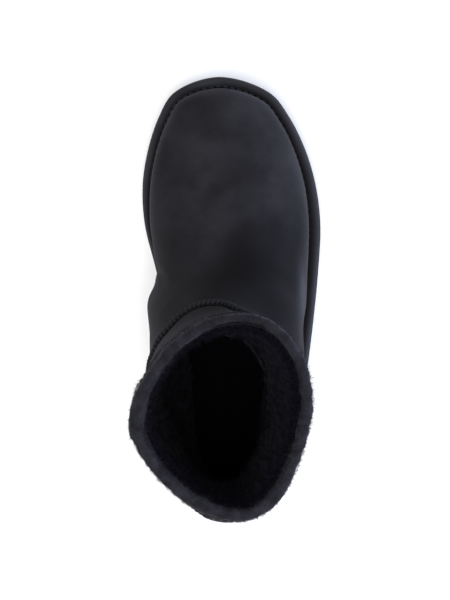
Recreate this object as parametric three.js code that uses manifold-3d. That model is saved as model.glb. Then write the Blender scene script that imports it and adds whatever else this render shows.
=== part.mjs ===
import * as THREE from "three";
import { mergeVertices } from "three/addons/utils/BufferGeometryUtils.js";
import Module from "manifold-3d";

// Sheepskin ankle boot for the right foot, in millimetres.
// +Y points from heel to toe, +X to the outer side of the foot, +Z up, the floor at z = 0.

const wasm = await Module();
wasm.setup();

// Sole
const soleLength = 268;
const ballWidth = 108;
const heelStack = 27; // floor to the top of the midsole under the heel
const ballStack = 20; // the same under the ball of the foot
const toeStack = 18; // thickness of the whole sole at the toe tip
const toeSpring = 9; // how high the toe's underside stands off the floor
const heelSpring = 1.5; // the same at the very back
const archRise = 2.2; // the same under the arch
const outsoleThickness = 7; // lugs included
const lugDepth = 3;
const grooveWidth = 5;
const lugPitch = 14;
const lugWave = 3; // how far a groove swings fore and aft
const treadRim = 6.5; // uncut margin round the tread
const sideStep = 1.4; // how far the sole's side steps in above the tread and at its groove
const sideGroove = 1.6; // depth of the groove round the midsole

// Welt, the rounded rim strip round the upper
const weltHeight = 6;
const weltMargin = 8; // typical width of the rim outside the upper
const weltSetback = 0.8; // welt's outer edge inside the sole's edge

// Upper
const wall = 3; // sheepskin hide with the packed roots of its wool
const toeBoxHeight = 35; // above the midsole
const instepHeight = 92; // above the midsole, at the bend of the ankle
const noseLength = 40; // over which the toe box rounds down
const shaftHeight = 131; // midsole to the collar
const collarLength = 104; // fore and aft, outside
const collarWidth = 92; // side to side, outside
const heelLean = 16.5; // how far the collar's back stands forward of the heel
const bendRadius = 15; // blend between the foot and the shaft

// Trim
const clearance = 0.3;
const skinGap = 0.45; // under the pieces that lie on the upper's curved skin
const seamGap = 0.8; // under the raised seams, which cross its facets
const counterThickness = 1.5;
const counterHeight = 56; // at the back, above the midsole
const stripWidth = 15;
const stripThickness = 1.2;
const labelWidth = 26;
const labelHeight = 17;
const labelThickness = 0.9;
const labelDrop = 7; // from the counter's top edge at the back down to the label
const seamWidth = 3.4;
const seamHeight = 2;
const sideSeamWidth = 2.6;
const sideSeamHeight = 1.5;
const bindingDrop = 11; // outside, from the collar's edge down
const bindingTuck = 7; // inside, from the collar's edge down
const bindingThickness = 1.5;
const insoleThickness = 6;
const insoleDish = 1; // how far the footbed's middle lies below its rim
const insoleInset = -wall - 1; // the insole's edge from the upper's outer face

// Mesh fineness
const around = 60;
const upperRings = 18;
const tau = 2 * Math.PI;

// Sole outline: inner and outer half widths as shares of the ball width, at shares of the length from
// the heel. The rim columns are the upper's distance inside the sole, as shares of the welt margin.
const outlineTable = [
  { at: 0.035, inner: 0.171, outer: 0.236, innerRim: 0.55, outerRim: 0.6 },
  { at: 0.1, inner: 0.273, outer: 0.333, innerRim: 0.55, outerRim: 0.7 },
  { at: 0.2, inner: 0.315, outer: 0.394, innerRim: 0.5, outerRim: 0.85 },
  { at: 0.32, inner: 0.315, outer: 0.451, innerRim: 0.45, outerRim: 1.0 },
  { at: 0.44, inner: 0.329, outer: 0.492, innerRim: 0.45, outerRim: 1.1 },
  { at: 0.56, inner: 0.384, outer: 0.523, innerRim: 0.6, outerRim: 1.2 },
  { at: 0.67, inner: 0.451, outer: 0.536, innerRim: 0.8, outerRim: 1.25 },
  { at: 0.76, inner: 0.463, outer: 0.509, innerRim: 0.95, outerRim: 1.2 },
  { at: 0.84, inner: 0.431, outer: 0.449, innerRim: 1.0, outerRim: 1.15 },
  { at: 0.91, inner: 0.373, outer: 0.363, innerRim: 1.0, outerRim: 1.08 },
  { at: 0.965, inner: 0.285, outer: 0.249, innerRim: 0.97, outerRim: 1.02 },
];
const heelEnd = { across: 0.032, rim: 0.55 };
const toeEnd = { across: -0.035, rim: 0.93 };

// Underside: lift off the floor at shares of the length, as shares of the named rises.
const liftTable = [
  { at: 0, heel: 1, arch: 0, toe: 0 },
  { at: 0.06, heel: 0, arch: 0, toe: 0 },
  { at: 0.29, heel: 0, arch: 0, toe: 0 },
  { at: 0.38, heel: 0, arch: 1, toe: 0 },
  { at: 0.47, heel: 0, arch: 0, toe: 0 },
  { at: 0.74, heel: 0, arch: 0, toe: 0 },
  { at: 0.87, heel: 0, arch: 0, toe: 0.3 },
  { at: 1, heel: 0, arch: 0, toe: 1 },
];

// Thickness of the whole sole: shares of the heel, ball and toe stacks.
const stackTable = [
  { at: 0.2, heel: 1, ball: 0, toe: 0 },
  { at: 0.62, heel: 0, ball: 1, toe: 0 },
  { at: 0.74, heel: 0, ball: 1, toe: 0 },
  { at: 1, heel: 0, ball: 0, toe: 1 },
];

// Ridge line of the foot: shares of the toe box and instep heights, at shares of the length, and how
// far its inner side bulges over the arch (share of the ball width).
const ridgeTable = [
  { at: 0.04, toeBox: 0, instep: 0.1, bulge: 0 },
  { at: 0.12, toeBox: 0, instep: 0.3, bulge: 0 },
  { at: 0.25, toeBox: 0, instep: 0.85, bulge: 0 },
  { at: 0.36, toeBox: 0, instep: 1.06, bulge: 0.03 },
  { at: 0.42, toeBox: 0, instep: 1.06, bulge: 0.08 },
  { at: 0.48, toeBox: 0, instep: 1.0, bulge: 0.1 },
  { at: 0.54, toeBox: 0, instep: 0.84, bulge: 0.036 },
  { at: 0.62, toeBox: 0, instep: 0.655, bulge: 0.012 },
  { at: 0.7, toeBox: 0.35, instep: 0.4, bulge: 0 },
  { at: 0.8, toeBox: 0.9, instep: 0.1, bulge: 0 },
  { at: 0.9, toeBox: 1, instep: 0, bulge: 0 },
  { at: 1, toeBox: 0.98, instep: 0, bulge: 0 },
];

// Level sections of the heel and shaft, at shares of the shaft's height: how far the back stands in
// (share of the heel's lean), length and width (shares of the collar's), where along it is widest and how
// much further forward that is on the outer side (shares of the length), the middle's offset and the
// outward swing of the front and back points (shares of the width), and how full the front and back
// curves are (2 is an ellipse).
const shaftTable = [
  { at: 0, lean: 0.06, length: 1.17, width: 0.71, widest: 0.55, skew: 0, middle: 0.037, frontSwing: 0, backSwing: 0, front: 2.2, back: 2.5 },
  { at: 0.1, lean: -0.02, length: 1.2, width: 0.78, widest: 0.57, skew: 0, middle: 0.033, frontSwing: 0, backSwing: 0, front: 2.3, back: 2.45 },
  { at: 0.22, lean: 0.06, length: 1.23, width: 0.837, widest: 0.59, skew: 0, middle: 0.016, frontSwing: 0, backSwing: 0, front: 2.4, back: 2.3 },
  { at: 0.36, lean: 0.25, length: 1.23, width: 0.9, widest: 0.6, skew: 0, middle: -0.005, frontSwing: 0, backSwing: 0.01, front: 2.4, back: 2.1 },
  { at: 0.5, lean: 0.4, length: 1.21, width: 0.9, widest: 0.58, skew: -0.03, middle: -0.016, frontSwing: 0, backSwing: 0.025, front: 2.3, back: 1.85 },
  { at: 0.7, lean: 0.63, length: 1.115, width: 0.89, widest: 0.54, skew: -0.06, middle: -0.027, frontSwing: 0.005, backSwing: 0.05, front: 2.05, back: 1.62 },
  { at: 0.85, lean: 0.82, length: 1.05, width: 0.918, widest: 0.52, skew: -0.01, middle: -0.03, frontSwing: 0.04, backSwing: 0.075, front: 1.9, back: 1.56 },
  { at: 1, lean: 1, length: 1, width: 1, widest: 0.5, skew: 0.07, middle: -0.017, frontSwing: 0.1, backSwing: 0.105, front: 1.85, back: 1.52 },
];

// Section planes of the upper from the sole to the collar: where each meets the front line (share of
// the length, share of the shaft's height) and how high it meets the back.
const planeTable = [
  { at: 0, frontAlong: 0.96, frontUp: 0, backUp: 0 },
  { at: 0.1, frontAlong: 0.96, frontUp: 0.09, backUp: 0.085 },
  { at: 0.2, frontAlong: 0.94, frontUp: 0.19, backUp: 0.165 },
  { at: 0.3, frontAlong: 0.88, frontUp: 0.27, backUp: 0.245 },
  { at: 0.4, frontAlong: 0.77, frontUp: 0.32, backUp: 0.34 },
  { at: 0.51, frontAlong: 0.66, frontUp: 0.42, backUp: 0.45 },
  { at: 0.6, frontAlong: 0.59, frontUp: 0.52, backUp: 0.54 },
  { at: 0.7, frontAlong: 0.53, frontUp: 0.645, backUp: 0.635 },
  { at: 0.79, frontAlong: 0.5, frontUp: 0.76, backUp: 0.73 },
  { at: 0.87, frontAlong: 0.49, frontUp: 0.87, backUp: 0.82 },
  { at: 0.94, frontAlong: 0.48, frontUp: 0.96, backUp: 0.9 },
  { at: 1, frontAlong: 0.475, frontUp: 1.03, backUp: 0.965 },
];

// Vamp seam on either side, from the instep down to the welt: shares of the boot's length, and of the
// shaft's height on its inner and outer side.
const seamTable = [
  { at: 0, along: 0.438, inner: 0.7, outer: 0.8 },
  { at: 0.2, along: 0.39, inner: 0.65, outer: 0.735 },
  { at: 0.4, along: 0.341, inner: 0.54, outer: 0.6 },
  { at: 0.6, along: 0.306, inner: 0.385, outer: 0.42 },
  { at: 0.8, along: 0.288, inner: 0.21, outer: 0.22 },
  { at: 1, along: 0.28, inner: 0.07, outer: 0.07 },
];

// Front of the vamp seam, from its inner end (-1) over the middle of the instep (0) to its outer end (1):
// share of the rise between the two ends.
const seamRiseTable = [
  { at: -1, rise: 0 },
  { at: -0.4, rise: 0.12 },
  { at: 0, rise: 0.35 },
  { at: 0.35, rise: 0.85 },
  { at: 1, rise: 1 },
];
const sideSeamAlong = 0.265; // place of the side seams, as a share of the boot's length
const sideSeamFoot = 0.45; // height of their lower ends, as a share of the shaft's

// Counter: height of its top edge (share of the counter's height) from its front end to the back.
const counterTable = [
  { at: 0, height: 0.24 },
  { at: 0.2, height: 0.47 },
  { at: 0.4, height: 0.7 },
  { at: 0.6, height: 0.87 },
  { at: 0.8, height: 0.97 },
  { at: 1, height: 1 },
];
const counterReach = 8 / around; // share of the way round that it covers on each side of the back

// Colours from the photograph.
const suede = { color: "#2b2b2f", roughness: 0.95, metalness: 0 };
const bindingSuede = { color: "#35353a", roughness: 0.95, metalness: 0 };
const thread = { color: "#303036", roughness: 0.8, metalness: 0 };
const foam = { color: "#242427", roughness: 0.8, metalness: 0 };
const tread = { color: "#1c1c1e", roughness: 0.85, metalness: 0 };
const wool = { color: "#141418", roughness: 1, metalness: 0 };

const mix = (a, b, t) => a + (b - a) * t;
const clamp01 = (t) => Math.min(1, Math.max(0, t));
const smooth = (t) => t * t * (3 - 2 * t);

/** Smooth value of a table's named column at a place along its "at" column. */
function column(table, name, at) {
  const last = table.length - 1;
  if (at <= table[0].at) return table[0][name];
  if (at >= table[last].at) return table[last][name];
  let i = 0;
  while (table[i + 1].at < at) i++;
  const slope = (k) => {
    const before = table[Math.max(k - 1, 0)];
    const after = table[Math.min(k + 1, last)];
    return (after[name] - before[name]) / (after.at - before.at);
  };
  const span = table[i + 1].at - table[i].at;
  const t = (at - table[i].at) / span;
  const t2 = t * t;
  const t3 = t2 * t;
  return (
    (2 * t3 - 3 * t2 + 1) * table[i][name] +
    (t3 - 2 * t2 + t) * span * slope(i) +
    (3 * t2 - 2 * t3) * table[i + 1][name] +
    (t3 - t2) * span * slope(i + 1)
  );
}

/** Value of a table's column eased from row to row, for stretches that stay exactly flat. */
function easedColumn(table, name, at) {
  const last = table.length - 1;
  const i = Math.min(last - 1, Math.max(0, table.findIndex((row) => row.at >= at) - 1));
  const t = clamp01((at - table[i].at) / (table[i + 1].at - table[i].at));
  return mix(table[i][name], table[i + 1][name], smooth(t));
}

/** Height of the sole's underside above the floor at a place along the boot. */
function undersideAt(y) {
  const s = clamp01(y / soleLength);
  return (
    heelSpring * easedColumn(liftTable, "heel", s) +
    archRise * easedColumn(liftTable, "arch", s) +
    toeSpring * easedColumn(liftTable, "toe", s)
  );
}

/** Height of the midsole's top above the floor. */
function soleTopAt(y) {
  const s = clamp01(y / soleLength);
  const stack =
    heelStack * easedColumn(stackTable, "heel", s) +
    ballStack * easedColumn(stackTable, "ball", s) +
    toeStack * easedColumn(stackTable, "toe", s);
  return stack + toeSpring * easedColumn(liftTable, "toe", s);
}

/** Closed outline of the sole as points {x, y, rim}, heel end first, outer side, toe, inner side. */
function soleOutline() {
  const outer = outlineTable.map((row) => [row.outer, row.at, row.outerRim]);
  const inner = outlineTable.map((row) => [-row.inner, row.at, row.innerRim]).reverse();
  const knots = [
    [heelEnd.across, 0, heelEnd.rim],
    ...outer,
    [toeEnd.across, 1, toeEnd.rim],
    ...inner,
  ].map(([across, along, rim]) => new THREE.Vector3(across * ballWidth, along * soleLength, rim * weltMargin));
  const curve = new THREE.CatmullRomCurve3(knots, true, "centripetal");
  const samples = 240;
  return Array.from({ length: samples }, (_, i) => {
    const p = curve.getPoint(i / samples);
    return { x: p.x, y: p.y, rim: p.z };
  });
}

/** The outline moved inward by a distance worked out for each of its points. */
function insetOutline(outline, distanceAt) {
  const count = outline.length;
  return outline.map((p, i) => {
    const before = outline[(i + count - 1) % count];
    const after = outline[(i + 1) % count];
    const tangent = new THREE.Vector2(after.x - before.x, after.y - before.y).normalize();
    const distance = distanceAt(p);
    return { x: p.x - tangent.y * distance, y: p.y + tangent.x * distance, rim: p.rim };
  });
}

const outline = soleOutline();
const featherLine = insetOutline(outline, (p) => p.rim);
const featherHeel = Math.min(...featherLine.map((p) => p.y));
const featherToe = Math.max(...featherLine.map((p) => p.y));

/** Where the closed outline crosses the level line at y, lowest and highest x. */
function crossings(points, y) {
  let low = Infinity;
  let high = -Infinity;
  points.forEach((a, i) => {
    const b = points[(i + 1) % points.length];
    if (a.y === b.y || (y - a.y) * (y - b.y) > 0) return;
    const x = mix(a.x, b.x, (y - a.y) / (b.y - a.y));
    low = Math.min(low, x);
    high = Math.max(high, x);
  });
  return { low, high };
}

// Rays spread round the boot: the same bearings serve every piece, so their points stand in line.
const rayAspect = soleLength / ballWidth;

/** Bearing for a share of the way round: 0 at the toe, 0.25 on the outer side, 0.5 at the heel. */
function bearing(u) {
  const angle = tau * u;
  return new THREE.Vector2(Math.sin(angle), rayAspect * Math.cos(angle)).normalize();
}

const rayCentre = { x: 0, y: mix(featherHeel, featherToe, 0.5) };

/** Point of a closed outline on the bearing u from the boot's middle. */
function outlinePoint(points, u) {
  const d = bearing(u);
  let best = 0;
  points.forEach((a, i) => {
    const b = points[(i + 1) % points.length];
    const ax = a.x - rayCentre.x;
    const ay = a.y - rayCentre.y;
    const ex = b.x - a.x;
    const ey = b.y - a.y;
    const det = ex * d.y - ey * d.x;
    if (Math.abs(det) < 1e-9) return;
    const t = (ay * d.x - ax * d.y) / det;
    const r = (ex * ay - ey * ax) / det;
    if (t >= 0 && t <= 1 && r > best) best = r;
  });
  return { x: rayCentre.x + d.x * best, y: rayCentre.y + d.y * best };
}

/** Rounded distance of a point from a section's middle, 1 on the section itself. */
function roundness(a, b, fullnessA, fullnessB) {
  const sum = Math.pow(Math.abs(a), fullnessA) + Math.pow(Math.abs(b), fullnessB);
  return Math.pow(sum, 2 / (fullnessA + fullnessB));
}

const shoulderLevel = 0.3; // level of the foot's greatest width, as a share of the ridge's height
const footSwell = 0.045; // how much wider than its feather line the foot is there
const bulgeLevel = 0.4; // height over the welt at which the inner side's bulge is full, as a share of the ridge
const footSquareness = 2.3;

/** Height of the foot's ridge above the midsole. */
function ridgeAt(y) {
  const s = y / soleLength;
  const height =
    toeBoxHeight * column(ridgeTable, "toeBox", s) + instepHeight * column(ridgeTable, "instep", s);
  const intoNose = clamp01((y - (featherToe - noseLength)) / noseLength);
  return height * Math.pow(Math.max(0, 1 - Math.pow(intoNose, 2.6)), 1 / 2.4);
}

/** Signed measure of the foot's form: below 0 inside. The height is above the midsole. */
function footField(x, y, up) {
  if (y <= featherHeel || y >= featherToe) return soleLength;
  const { low, high } = crossings(featherLine, y);
  const ridge = Math.max(ridgeAt(y), 0.01);
  const level = up / ridge;
  const rise = clamp01(level / shoulderLevel);
  const swell = rise * (2 - rise);
  const middle = (low + high) / 2;
  const aboveWelt = clamp01((up - weltHeight) / (bulgeLevel * ridge));
  const bulge = x < middle ? ballWidth * column(ridgeTable, "bulge", y / soleLength) * smooth(aboveWelt) : 0;
  const half = ((high - low) / 2) * (1 + footSwell * swell) + bulge;
  const crown = Math.max(0, (level - shoulderLevel) / (1 - shoulderLevel));
  return (roundness((x - middle) / half, crown, footSquareness, footSquareness) - 1) * (ballWidth / 2);
}

/** Signed measure of the heel and shaft, below 0 inside. */
function shaftField(x, y, up) {
  const t = clamp01(up / shaftHeight);
  const back = featherHeel + heelLean * column(shaftTable, "lean", t);
  const length = collarLength * column(shaftTable, "length", t);
  const width = collarWidth * column(shaftTable, "width", t);
  const skew = (column(shaftTable, "skew", t) * x) / (collarWidth / 2);
  const widest = back + length * (column(shaftTable, "widest", t) + skew);
  const forward = y > widest;
  const reach = forward ? back + length - widest : widest - back;
  const v = (y - widest) / reach;
  const swing = column(shaftTable, forward ? "frontSwing" : "backSwing", t) * Math.min(1, v * v);
  const middle = collarWidth * (column(shaftTable, "middle", t) + swing);
  const fullness = column(shaftTable, forward ? "front" : "back", t);
  return (roundness((x - middle) / (width / 2), v, 2, fullness) - 1) * (width / 2);
}

/** The whole last: foot and shaft with a soft bend between them that fades out at the sole. */
function lastField(x, y, up) {
  const foot = footField(x, y, up);
  const shaft = shaftField(x, y, up);
  const blend = bendRadius * smooth(clamp01(up / (0.4 * shaftHeight))) + 0.01;
  const overlap = Math.max(0, blend - Math.abs(foot - shaft)) / blend;
  return Math.min(foot, shaft) - (overlap * overlap * blend) / 4;
}

/** Point of the upper's outer face: u round from the toe, v from the sole to the collar. */
function upperPoint(u, v) {
  const frontY = soleLength * column(planeTable, "frontAlong", v);
  const frontUp = shaftHeight * column(planeTable, "frontUp", v);
  const backUp = shaftHeight * column(planeTable, "backUp", v);
  const back = featherHeel + heelLean * column(shaftTable, "lean", clamp01(backUp / shaftHeight));
  const centreY = mix(back, frontY, 0.5);
  const slope = (frontUp - backUp) / (frontY - back);
  const centreUp = mix(backUp, frontUp, 0.5);
  const angle = tau * u;
  const aspect = mix(rayAspect, collarLength / collarWidth, v);
  const d = new THREE.Vector2(Math.sin(angle), aspect * Math.cos(angle)).normalize();
  let inside = 0;
  let outside = soleLength;
  for (let i = 0; i < 26; i++) {
    const r = (inside + outside) / 2;
    const y = centreY + d.y * r;
    const up = Math.max(0, centreUp + slope * (y - centreY));
    if (lastField(rayCentre.x + d.x * r, y, up) < 0) inside = r;
    else outside = r;
  }
  const y = centreY + d.y * inside;
  const up = Math.max(0, centreUp + slope * (y - centreY));
  return new THREE.Vector3(rayCentre.x + d.x * inside, y, up + soleTopAt(y) + clearance);
}

/** Outward normal of the upper's outer face. */
function upperNormal(u, v) {
  const du = 0.004;
  const dv = 0.012;
  const along = upperPoint(u + du, v).sub(upperPoint(u - du, v));
  const upward = upperPoint(u, Math.min(1, v + dv)).sub(upperPoint(u, Math.max(0, v - dv)));
  const normal = upward.cross(along).normalize();
  return v === 0 ? normal.setZ(0).normalize() : normal;
}

/** Point at a distance outward from the upper's outer face. */
function offsetPoint(u, v, distance) {
  return upperPoint(u, v).addScaledVector(upperNormal(u, v), distance);
}

/** The v at which the upper stands a given height above the midsole, at u. */
function levelAt(u, height) {
  let low = 0;
  let high = 1;
  for (let i = 0; i < 22; i++) {
    const v = (low + high) / 2;
    const p = upperPoint(u, v);
    if (p.z - clearance - soleTopAt(p.y) < height) low = v;
    else high = v;
  }
  return (low + high) / 2;
}

/** Geometry from a vertex list and triangles. */
function meshOf(points, triangles) {
  const geometry = new THREE.BufferGeometry().setFromPoints(points);
  geometry.setIndex(triangles);
  return geometry;
}

/** Turns a closed geometry inside out if its volume is negative. */
function facingOut(geometry) {
  const p = geometry.attributes.position;
  const index = geometry.index.array;
  const a = new THREE.Vector3();
  const b = new THREE.Vector3();
  const c = new THREE.Vector3();
  let volume = 0;
  for (let i = 0; i < index.length; i += 3) {
    a.fromBufferAttribute(p, index[i]);
    b.fromBufferAttribute(p, index[i + 1]);
    c.fromBufferAttribute(p, index[i + 2]);
    volume += a.dot(b.cross(c));
  }
  if (volume < 0) for (let i = 0; i < index.length; i += 3) [index[i], index[i + 1]] = [index[i + 1], index[i]];
  return geometry;
}

/**
 * Triangles between rows of points, each cell split along its shorter diagonal. Each row closes on itself if
 * ringed, and the last row joins the first if looped.
 */
function lattice(rows, ringed, looped) {
  const count = rows[0].length;
  const points = rows.flat();
  const triangles = [];
  const rowLinks = looped ? rows.length : rows.length - 1;
  const pointLinks = ringed ? count : count - 1;
  for (let r = 0; r < rowLinks; r++) {
    for (let k = 0; k < pointLinks; k++) {
      const a = r * count + k;
      const b = r * count + ((k + 1) % count);
      const c = ((r + 1) % rows.length) * count + k;
      const d = ((r + 1) % rows.length) * count + ((k + 1) % count);
      if (points[a].distanceTo(points[d]) < points[b].distanceTo(points[c])) triangles.push(a, b, d, a, d, c);
      else triangles.push(a, b, c, b, d, c);
    }
  }
  return { points, triangles };
}

/** A bar swept along stations: each station is a closed section, and both ends are capped flat. */
function sweep(stations) {
  const { points, triangles } = lattice(stations, true, false);
  const count = stations[0].length;
  const end = (stations.length - 1) * count;
  for (let k = 1; k < count - 1; k++) {
    triangles.push(0, k + 1, k);
    triangles.push(end, end + k, end + k + 1);
  }
  return facingOut(meshOf(points, triangles));
}

/** A ring swept round the boot: sections follow each other and the last joins the first. */
function ring(sections) {
  const { points, triangles } = lattice(sections, true, true);
  return facingOut(meshOf(points, triangles));
}

/** Triangles across a closed loop in strips, each from the outer side to the inner side of the boot. */
function strips(points, start, count) {
  const triangles = [];
  for (let k = 0; k < count / 2; k++) {
    const a = start + k;
    const b = start + k + 1;
    const c = start + ((count - k) % count);
    const d = start + count - k - 1;
    const diagonal = points[a].distanceTo(points[d]) < points[b].distanceTo(points[c]);
    if (k === 0) triangles.push(a, b, d);
    else if (b === d) triangles.push(a, b, c);
    else if (diagonal) triangles.push(a, b, d, a, d, c);
    else triangles.push(a, b, c, b, d, c);
  }
  return triangles;
}

/** A slab from stacked loops of the shared bearings, closed across its first and its last. */
function slab(loops) {
  const { points, triangles } = lattice(loops, true, false);
  const count = loops[0].length;
  const bottom = strips(points, 0, count);
  for (let i = 0; i < bottom.length; i += 3) triangles.push(bottom[i + 2], bottom[i + 1], bottom[i]);
  triangles.push(...strips(points, points.length - count, count));
  return facingOut(meshOf(points, triangles));
}

/** A patch of skin over the upper, between two distances from it; vs(u) gives its low and high edge. */
function skinPatch(us, edgesAt, steps, inner, outer) {
  const column = (u, distance) => {
    const [low, high] = edgesAt(u);
    return Array.from({ length: steps + 1 }, (_, k) => offsetPoint(u, mix(low, high, k / steps), distance));
  };
  return sweep(us.map((u) => [...column(u, inner), ...column(u, outer).reverse()]));
}

const bearings = Array.from({ length: around }, (_, i) => i / around);

/** Shares of the way round from one side of a middle to the other, by way of the shared bearings. */
function span(middle, half) {
  const inside = bearings.filter((u) => Math.abs(u - middle) < half - 0.001);
  return [middle - half, ...inside, middle + half];
}

/** Closed loop of the sole's outline, inset, at a height worked out from the place along the boot. */
function soleLoop(inset, heightAt) {
  const line = insetOutline(outline, () => inset);
  return bearings.map((u) => {
    const p = outlinePoint(line, u);
    return new THREE.Vector3(p.x, p.y, heightAt(p.y));
  });
}

/** The loop drawn in toward the boot's middle by a share, at new heights. */
function shrunkLoop(loop, share, heightAt) {
  return loop.map((p) => {
    const y = mix(rayCentre.y, p.y, share);
    return new THREE.Vector3(mix(rayCentre.x, p.x, share), y, heightAt(y));
  });
}

/** Loop round the upper's foot at a distance outward from it, at new heights. */
function footLoop(distance, heightAt) {
  return bearings.map((u) => {
    const p = offsetPoint(u, 0, distance);
    return new THREE.Vector3(p.x, p.y, heightAt(p.y));
  });
}

/** A closed geometry as a solid for joining and cutting. */
function solidOf(geometry) {
  const bare = geometry.clone();
  bare.deleteAttribute("normal");
  bare.deleteAttribute("uv");
  const merged = mergeVertices(bare, 1e-4);
  return new wasm.Manifold(
    new wasm.Mesh({
      numProp: 3,
      vertProperties: new Float32Array(merged.attributes.position.array),
      triVerts: new Uint32Array(merged.index.array),
    }),
  );
}

/** The geometry of a joined or cut solid. */
function geometryOf(solid) {
  const mesh = solid.getMesh();
  const geometry = new THREE.BufferGeometry();
  geometry.setAttribute("position", new THREE.BufferAttribute(mesh.vertProperties, mesh.numProp));
  return geometry.setIndex(new THREE.BufferAttribute(mesh.triVerts, 1));
}

/** One wavy groove across the tread, as a closed strip from below the floor up to its ceiling. */
function grooveCutter(y, reach) {
  const ceiling = undersideAt(y) + lugDepth;
  const points = 7;
  const edge = (side) =>
    Array.from({ length: points }, (_, i) => {
      const x = mix(-reach, reach, i / (points - 1));
      const swing = i % 2 ? lugWave : -lugWave;
      return new THREE.Vector2(x, y + swing + (side * grooveWidth) / 2);
    });
  const shape = new THREE.Shape([...edge(-1), ...edge(1).reverse()]);
  const depth = ceiling + lugDepth;
  return solidOf(new THREE.ExtrudeGeometry(shape, { depth, bevelEnabled: false }).translate(0, 0, -lugDepth));
}

/** Outsole: tread plate with wavy lugs inside an uncut margin. */
function outsole() {
  const top = (y) => undersideAt(y) + outsoleThickness;
  const plate = slab([
    soleLoop(sideStep, undersideAt),
    soleLoop(0, (y) => undersideAt(y) + sideStep),
    soleLoop(0, (y) => top(y) - sideStep),
    soleLoop(sideStep, top),
  ]);
  const shaft = new THREE.Shape(
    insetOutline(outline, () => treadRim).map((p) => new THREE.Vector2(p.x, p.y)).filter((_, i) => i % 8 === 0),
  );
  const field = solidOf(
    new THREE.ExtrudeGeometry(shaft, { depth: 4 * soleLength, bevelEnabled: false }).translate(0, 0, -soleLength),
  );
  const first = 0.07 * soleLength;
  const count = Math.floor((0.93 * soleLength - first) / lugPitch);
  let cuts = null;
  for (let i = 0; i <= count; i++) {
    const groove = grooveCutter(first + i * lugPitch, ballWidth);
    cuts = cuts ? cuts.add(groove) : groove;
  }
  return geometryOf(solidOf(plate).subtract(cuts.intersect(field)));
}

/** Midsole: foam body on the outsole, with a step at its foot and a groove round its side. */
function midsole() {
  const base = outsoleThickness + clearance;
  const foot = (y) => undersideAt(y) + base;
  const between = (share) => (y) => mix(foot(y), soleTopAt(y), share);
  return slab([
    soleLoop(sideStep, foot),
    soleLoop(sideStep, between(0.12)),
    soleLoop(0, between(0.2)),
    soleLoop(0, between(0.6)),
    soleLoop(sideGroove, between(0.67)),
    soleLoop(0, between(0.74)),
    soleLoop(0, between(0.96)),
    soleLoop(weltSetback, soleTopAt),
    footLoop(skinGap, soleTopAt),
    footLoop(insoleInset, soleTopAt),
  ]);
}

// Welt section: shares of its width from the outside in, and of its height.
const weltProfile = [
  { across: 0, height: 0 },
  { across: 0, height: 0.5 },
  { across: 0.14, height: 0.84 },
  { across: 0.38, height: 1 },
  { across: 0.66, height: 0.9 },
  { across: 0.88, height: 0.62 },
  { across: 1, height: 0.4 },
  { across: 1, height: 0 },
];

/** Welt: rounded strip on the midsole's edge, from the sole's outline in to the upper. */
function welt() {
  const outerEdge = soleLoop(weltSetback, (y) => soleTopAt(y) + clearance);
  const sections = bearings.map((u, i) => {
    const low = offsetPoint(u, 0, skinGap);
    const high = offsetPoint(u, levelAt(u, weltHeight), skinGap);
    const from = outerEdge[i];
    const reachLow = Math.hypot(low.x - from.x, low.y - from.y);
    const reachHigh = Math.hypot(high.x - from.x, high.y - from.y);
    const to = reachHigh < reachLow ? high : low;
    return weltProfile.map(({ across, height }) => {
      const x = mix(from.x, to.x, across);
      const y = mix(from.y, to.y, across);
      return new THREE.Vector3(x, y, soleTopAt(y) + clearance + height * weltHeight);
    });
  });
  return ring(sections);
}

/** Upper: one hollow wall from the midsole to the collar, open at both ends. */
function upper() {
  const levels = Array.from({ length: upperRings }, (_, k) => k / (upperRings - 1));
  const sections = bearings.map((u) => [
    ...levels.map((v) => upperPoint(u, v)),
    ...levels.map((v) => offsetPoint(u, v, -wall)).reverse(),
  ]);
  return ring(sections);
}

/** Insole: footbed that fills the upper's floor, with its rim rising a little up the wall. */
function insole() {
  const seat = (y) => soleTopAt(y) + clearance;
  const bed = (y) => seat(y) + insoleThickness - insoleDish;
  const high = bearings.map((u) => offsetPoint(u, levelAt(u, insoleThickness), insoleInset));
  return slab([
    footLoop(insoleInset, seat),
    high.map((p) => new THREE.Vector3(p.x, p.y, seat(p.y) + insoleThickness)),
    shrunkLoop(high, 0.84, bed),
    shrunkLoop(high, 0.5, bed),
  ]);
}

/** The {u, v} of a point on the outer or inner side, at a place along the boot and a height. */
function sidePlace(outer, y, height) {
  let front = 0.02;
  let back = 0.48;
  for (let i = 0; i < 16; i++) {
    const u = (front + back) / 2;
    const around01 = outer ? u : 1 - u;
    if (upperPoint(around01, levelAt(around01, height)).y > y) front = u;
    else back = u;
  }
  const u = outer ? front : 1 - front;
  return { u, v: levelAt(u, height) };
}

/** A raised ridge on the upper along a path of {u, v}, with a rounded top. */
function ridgeAlong(path, width, height) {
  const stations = path.map(({ u, v }, i) => {
    const before = path[Math.max(0, i - 1)];
    const after = path[Math.min(path.length - 1, i + 1)];
    const tangent = upperPoint(after.u, after.v).sub(upperPoint(before.u, before.v)).normalize();
    const normal = upperNormal(u, v);
    const across = normal.clone().cross(tangent).normalize();
    const base = upperPoint(u, v);
    const at = (side, lift) =>
      base.clone().addScaledVector(across, (side * width) / 2).addScaledVector(normal, seamGap + lift * height);
    return [at(-1, 0), at(-1, 0.55), at(-0.5, 1), at(0.5, 1), at(1, 0.55), at(1, 0)];
  });
  return sweep(stations);
}

/** The vamp seam's path down one side, from the instep to just above the welt. */
function seamSide(outer) {
  const steps = 13;
  const foot = weltHeight + skinGap + seamWidth / 2;
  return Array.from({ length: steps + 1 }, (_, i) => {
    const up = Math.max(foot, shaftHeight * column(seamTable, outer ? "outer" : "inner", i / steps));
    return sidePlace(outer, soleLength * column(seamTable, "along", i / steps), up);
  });
}

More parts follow.
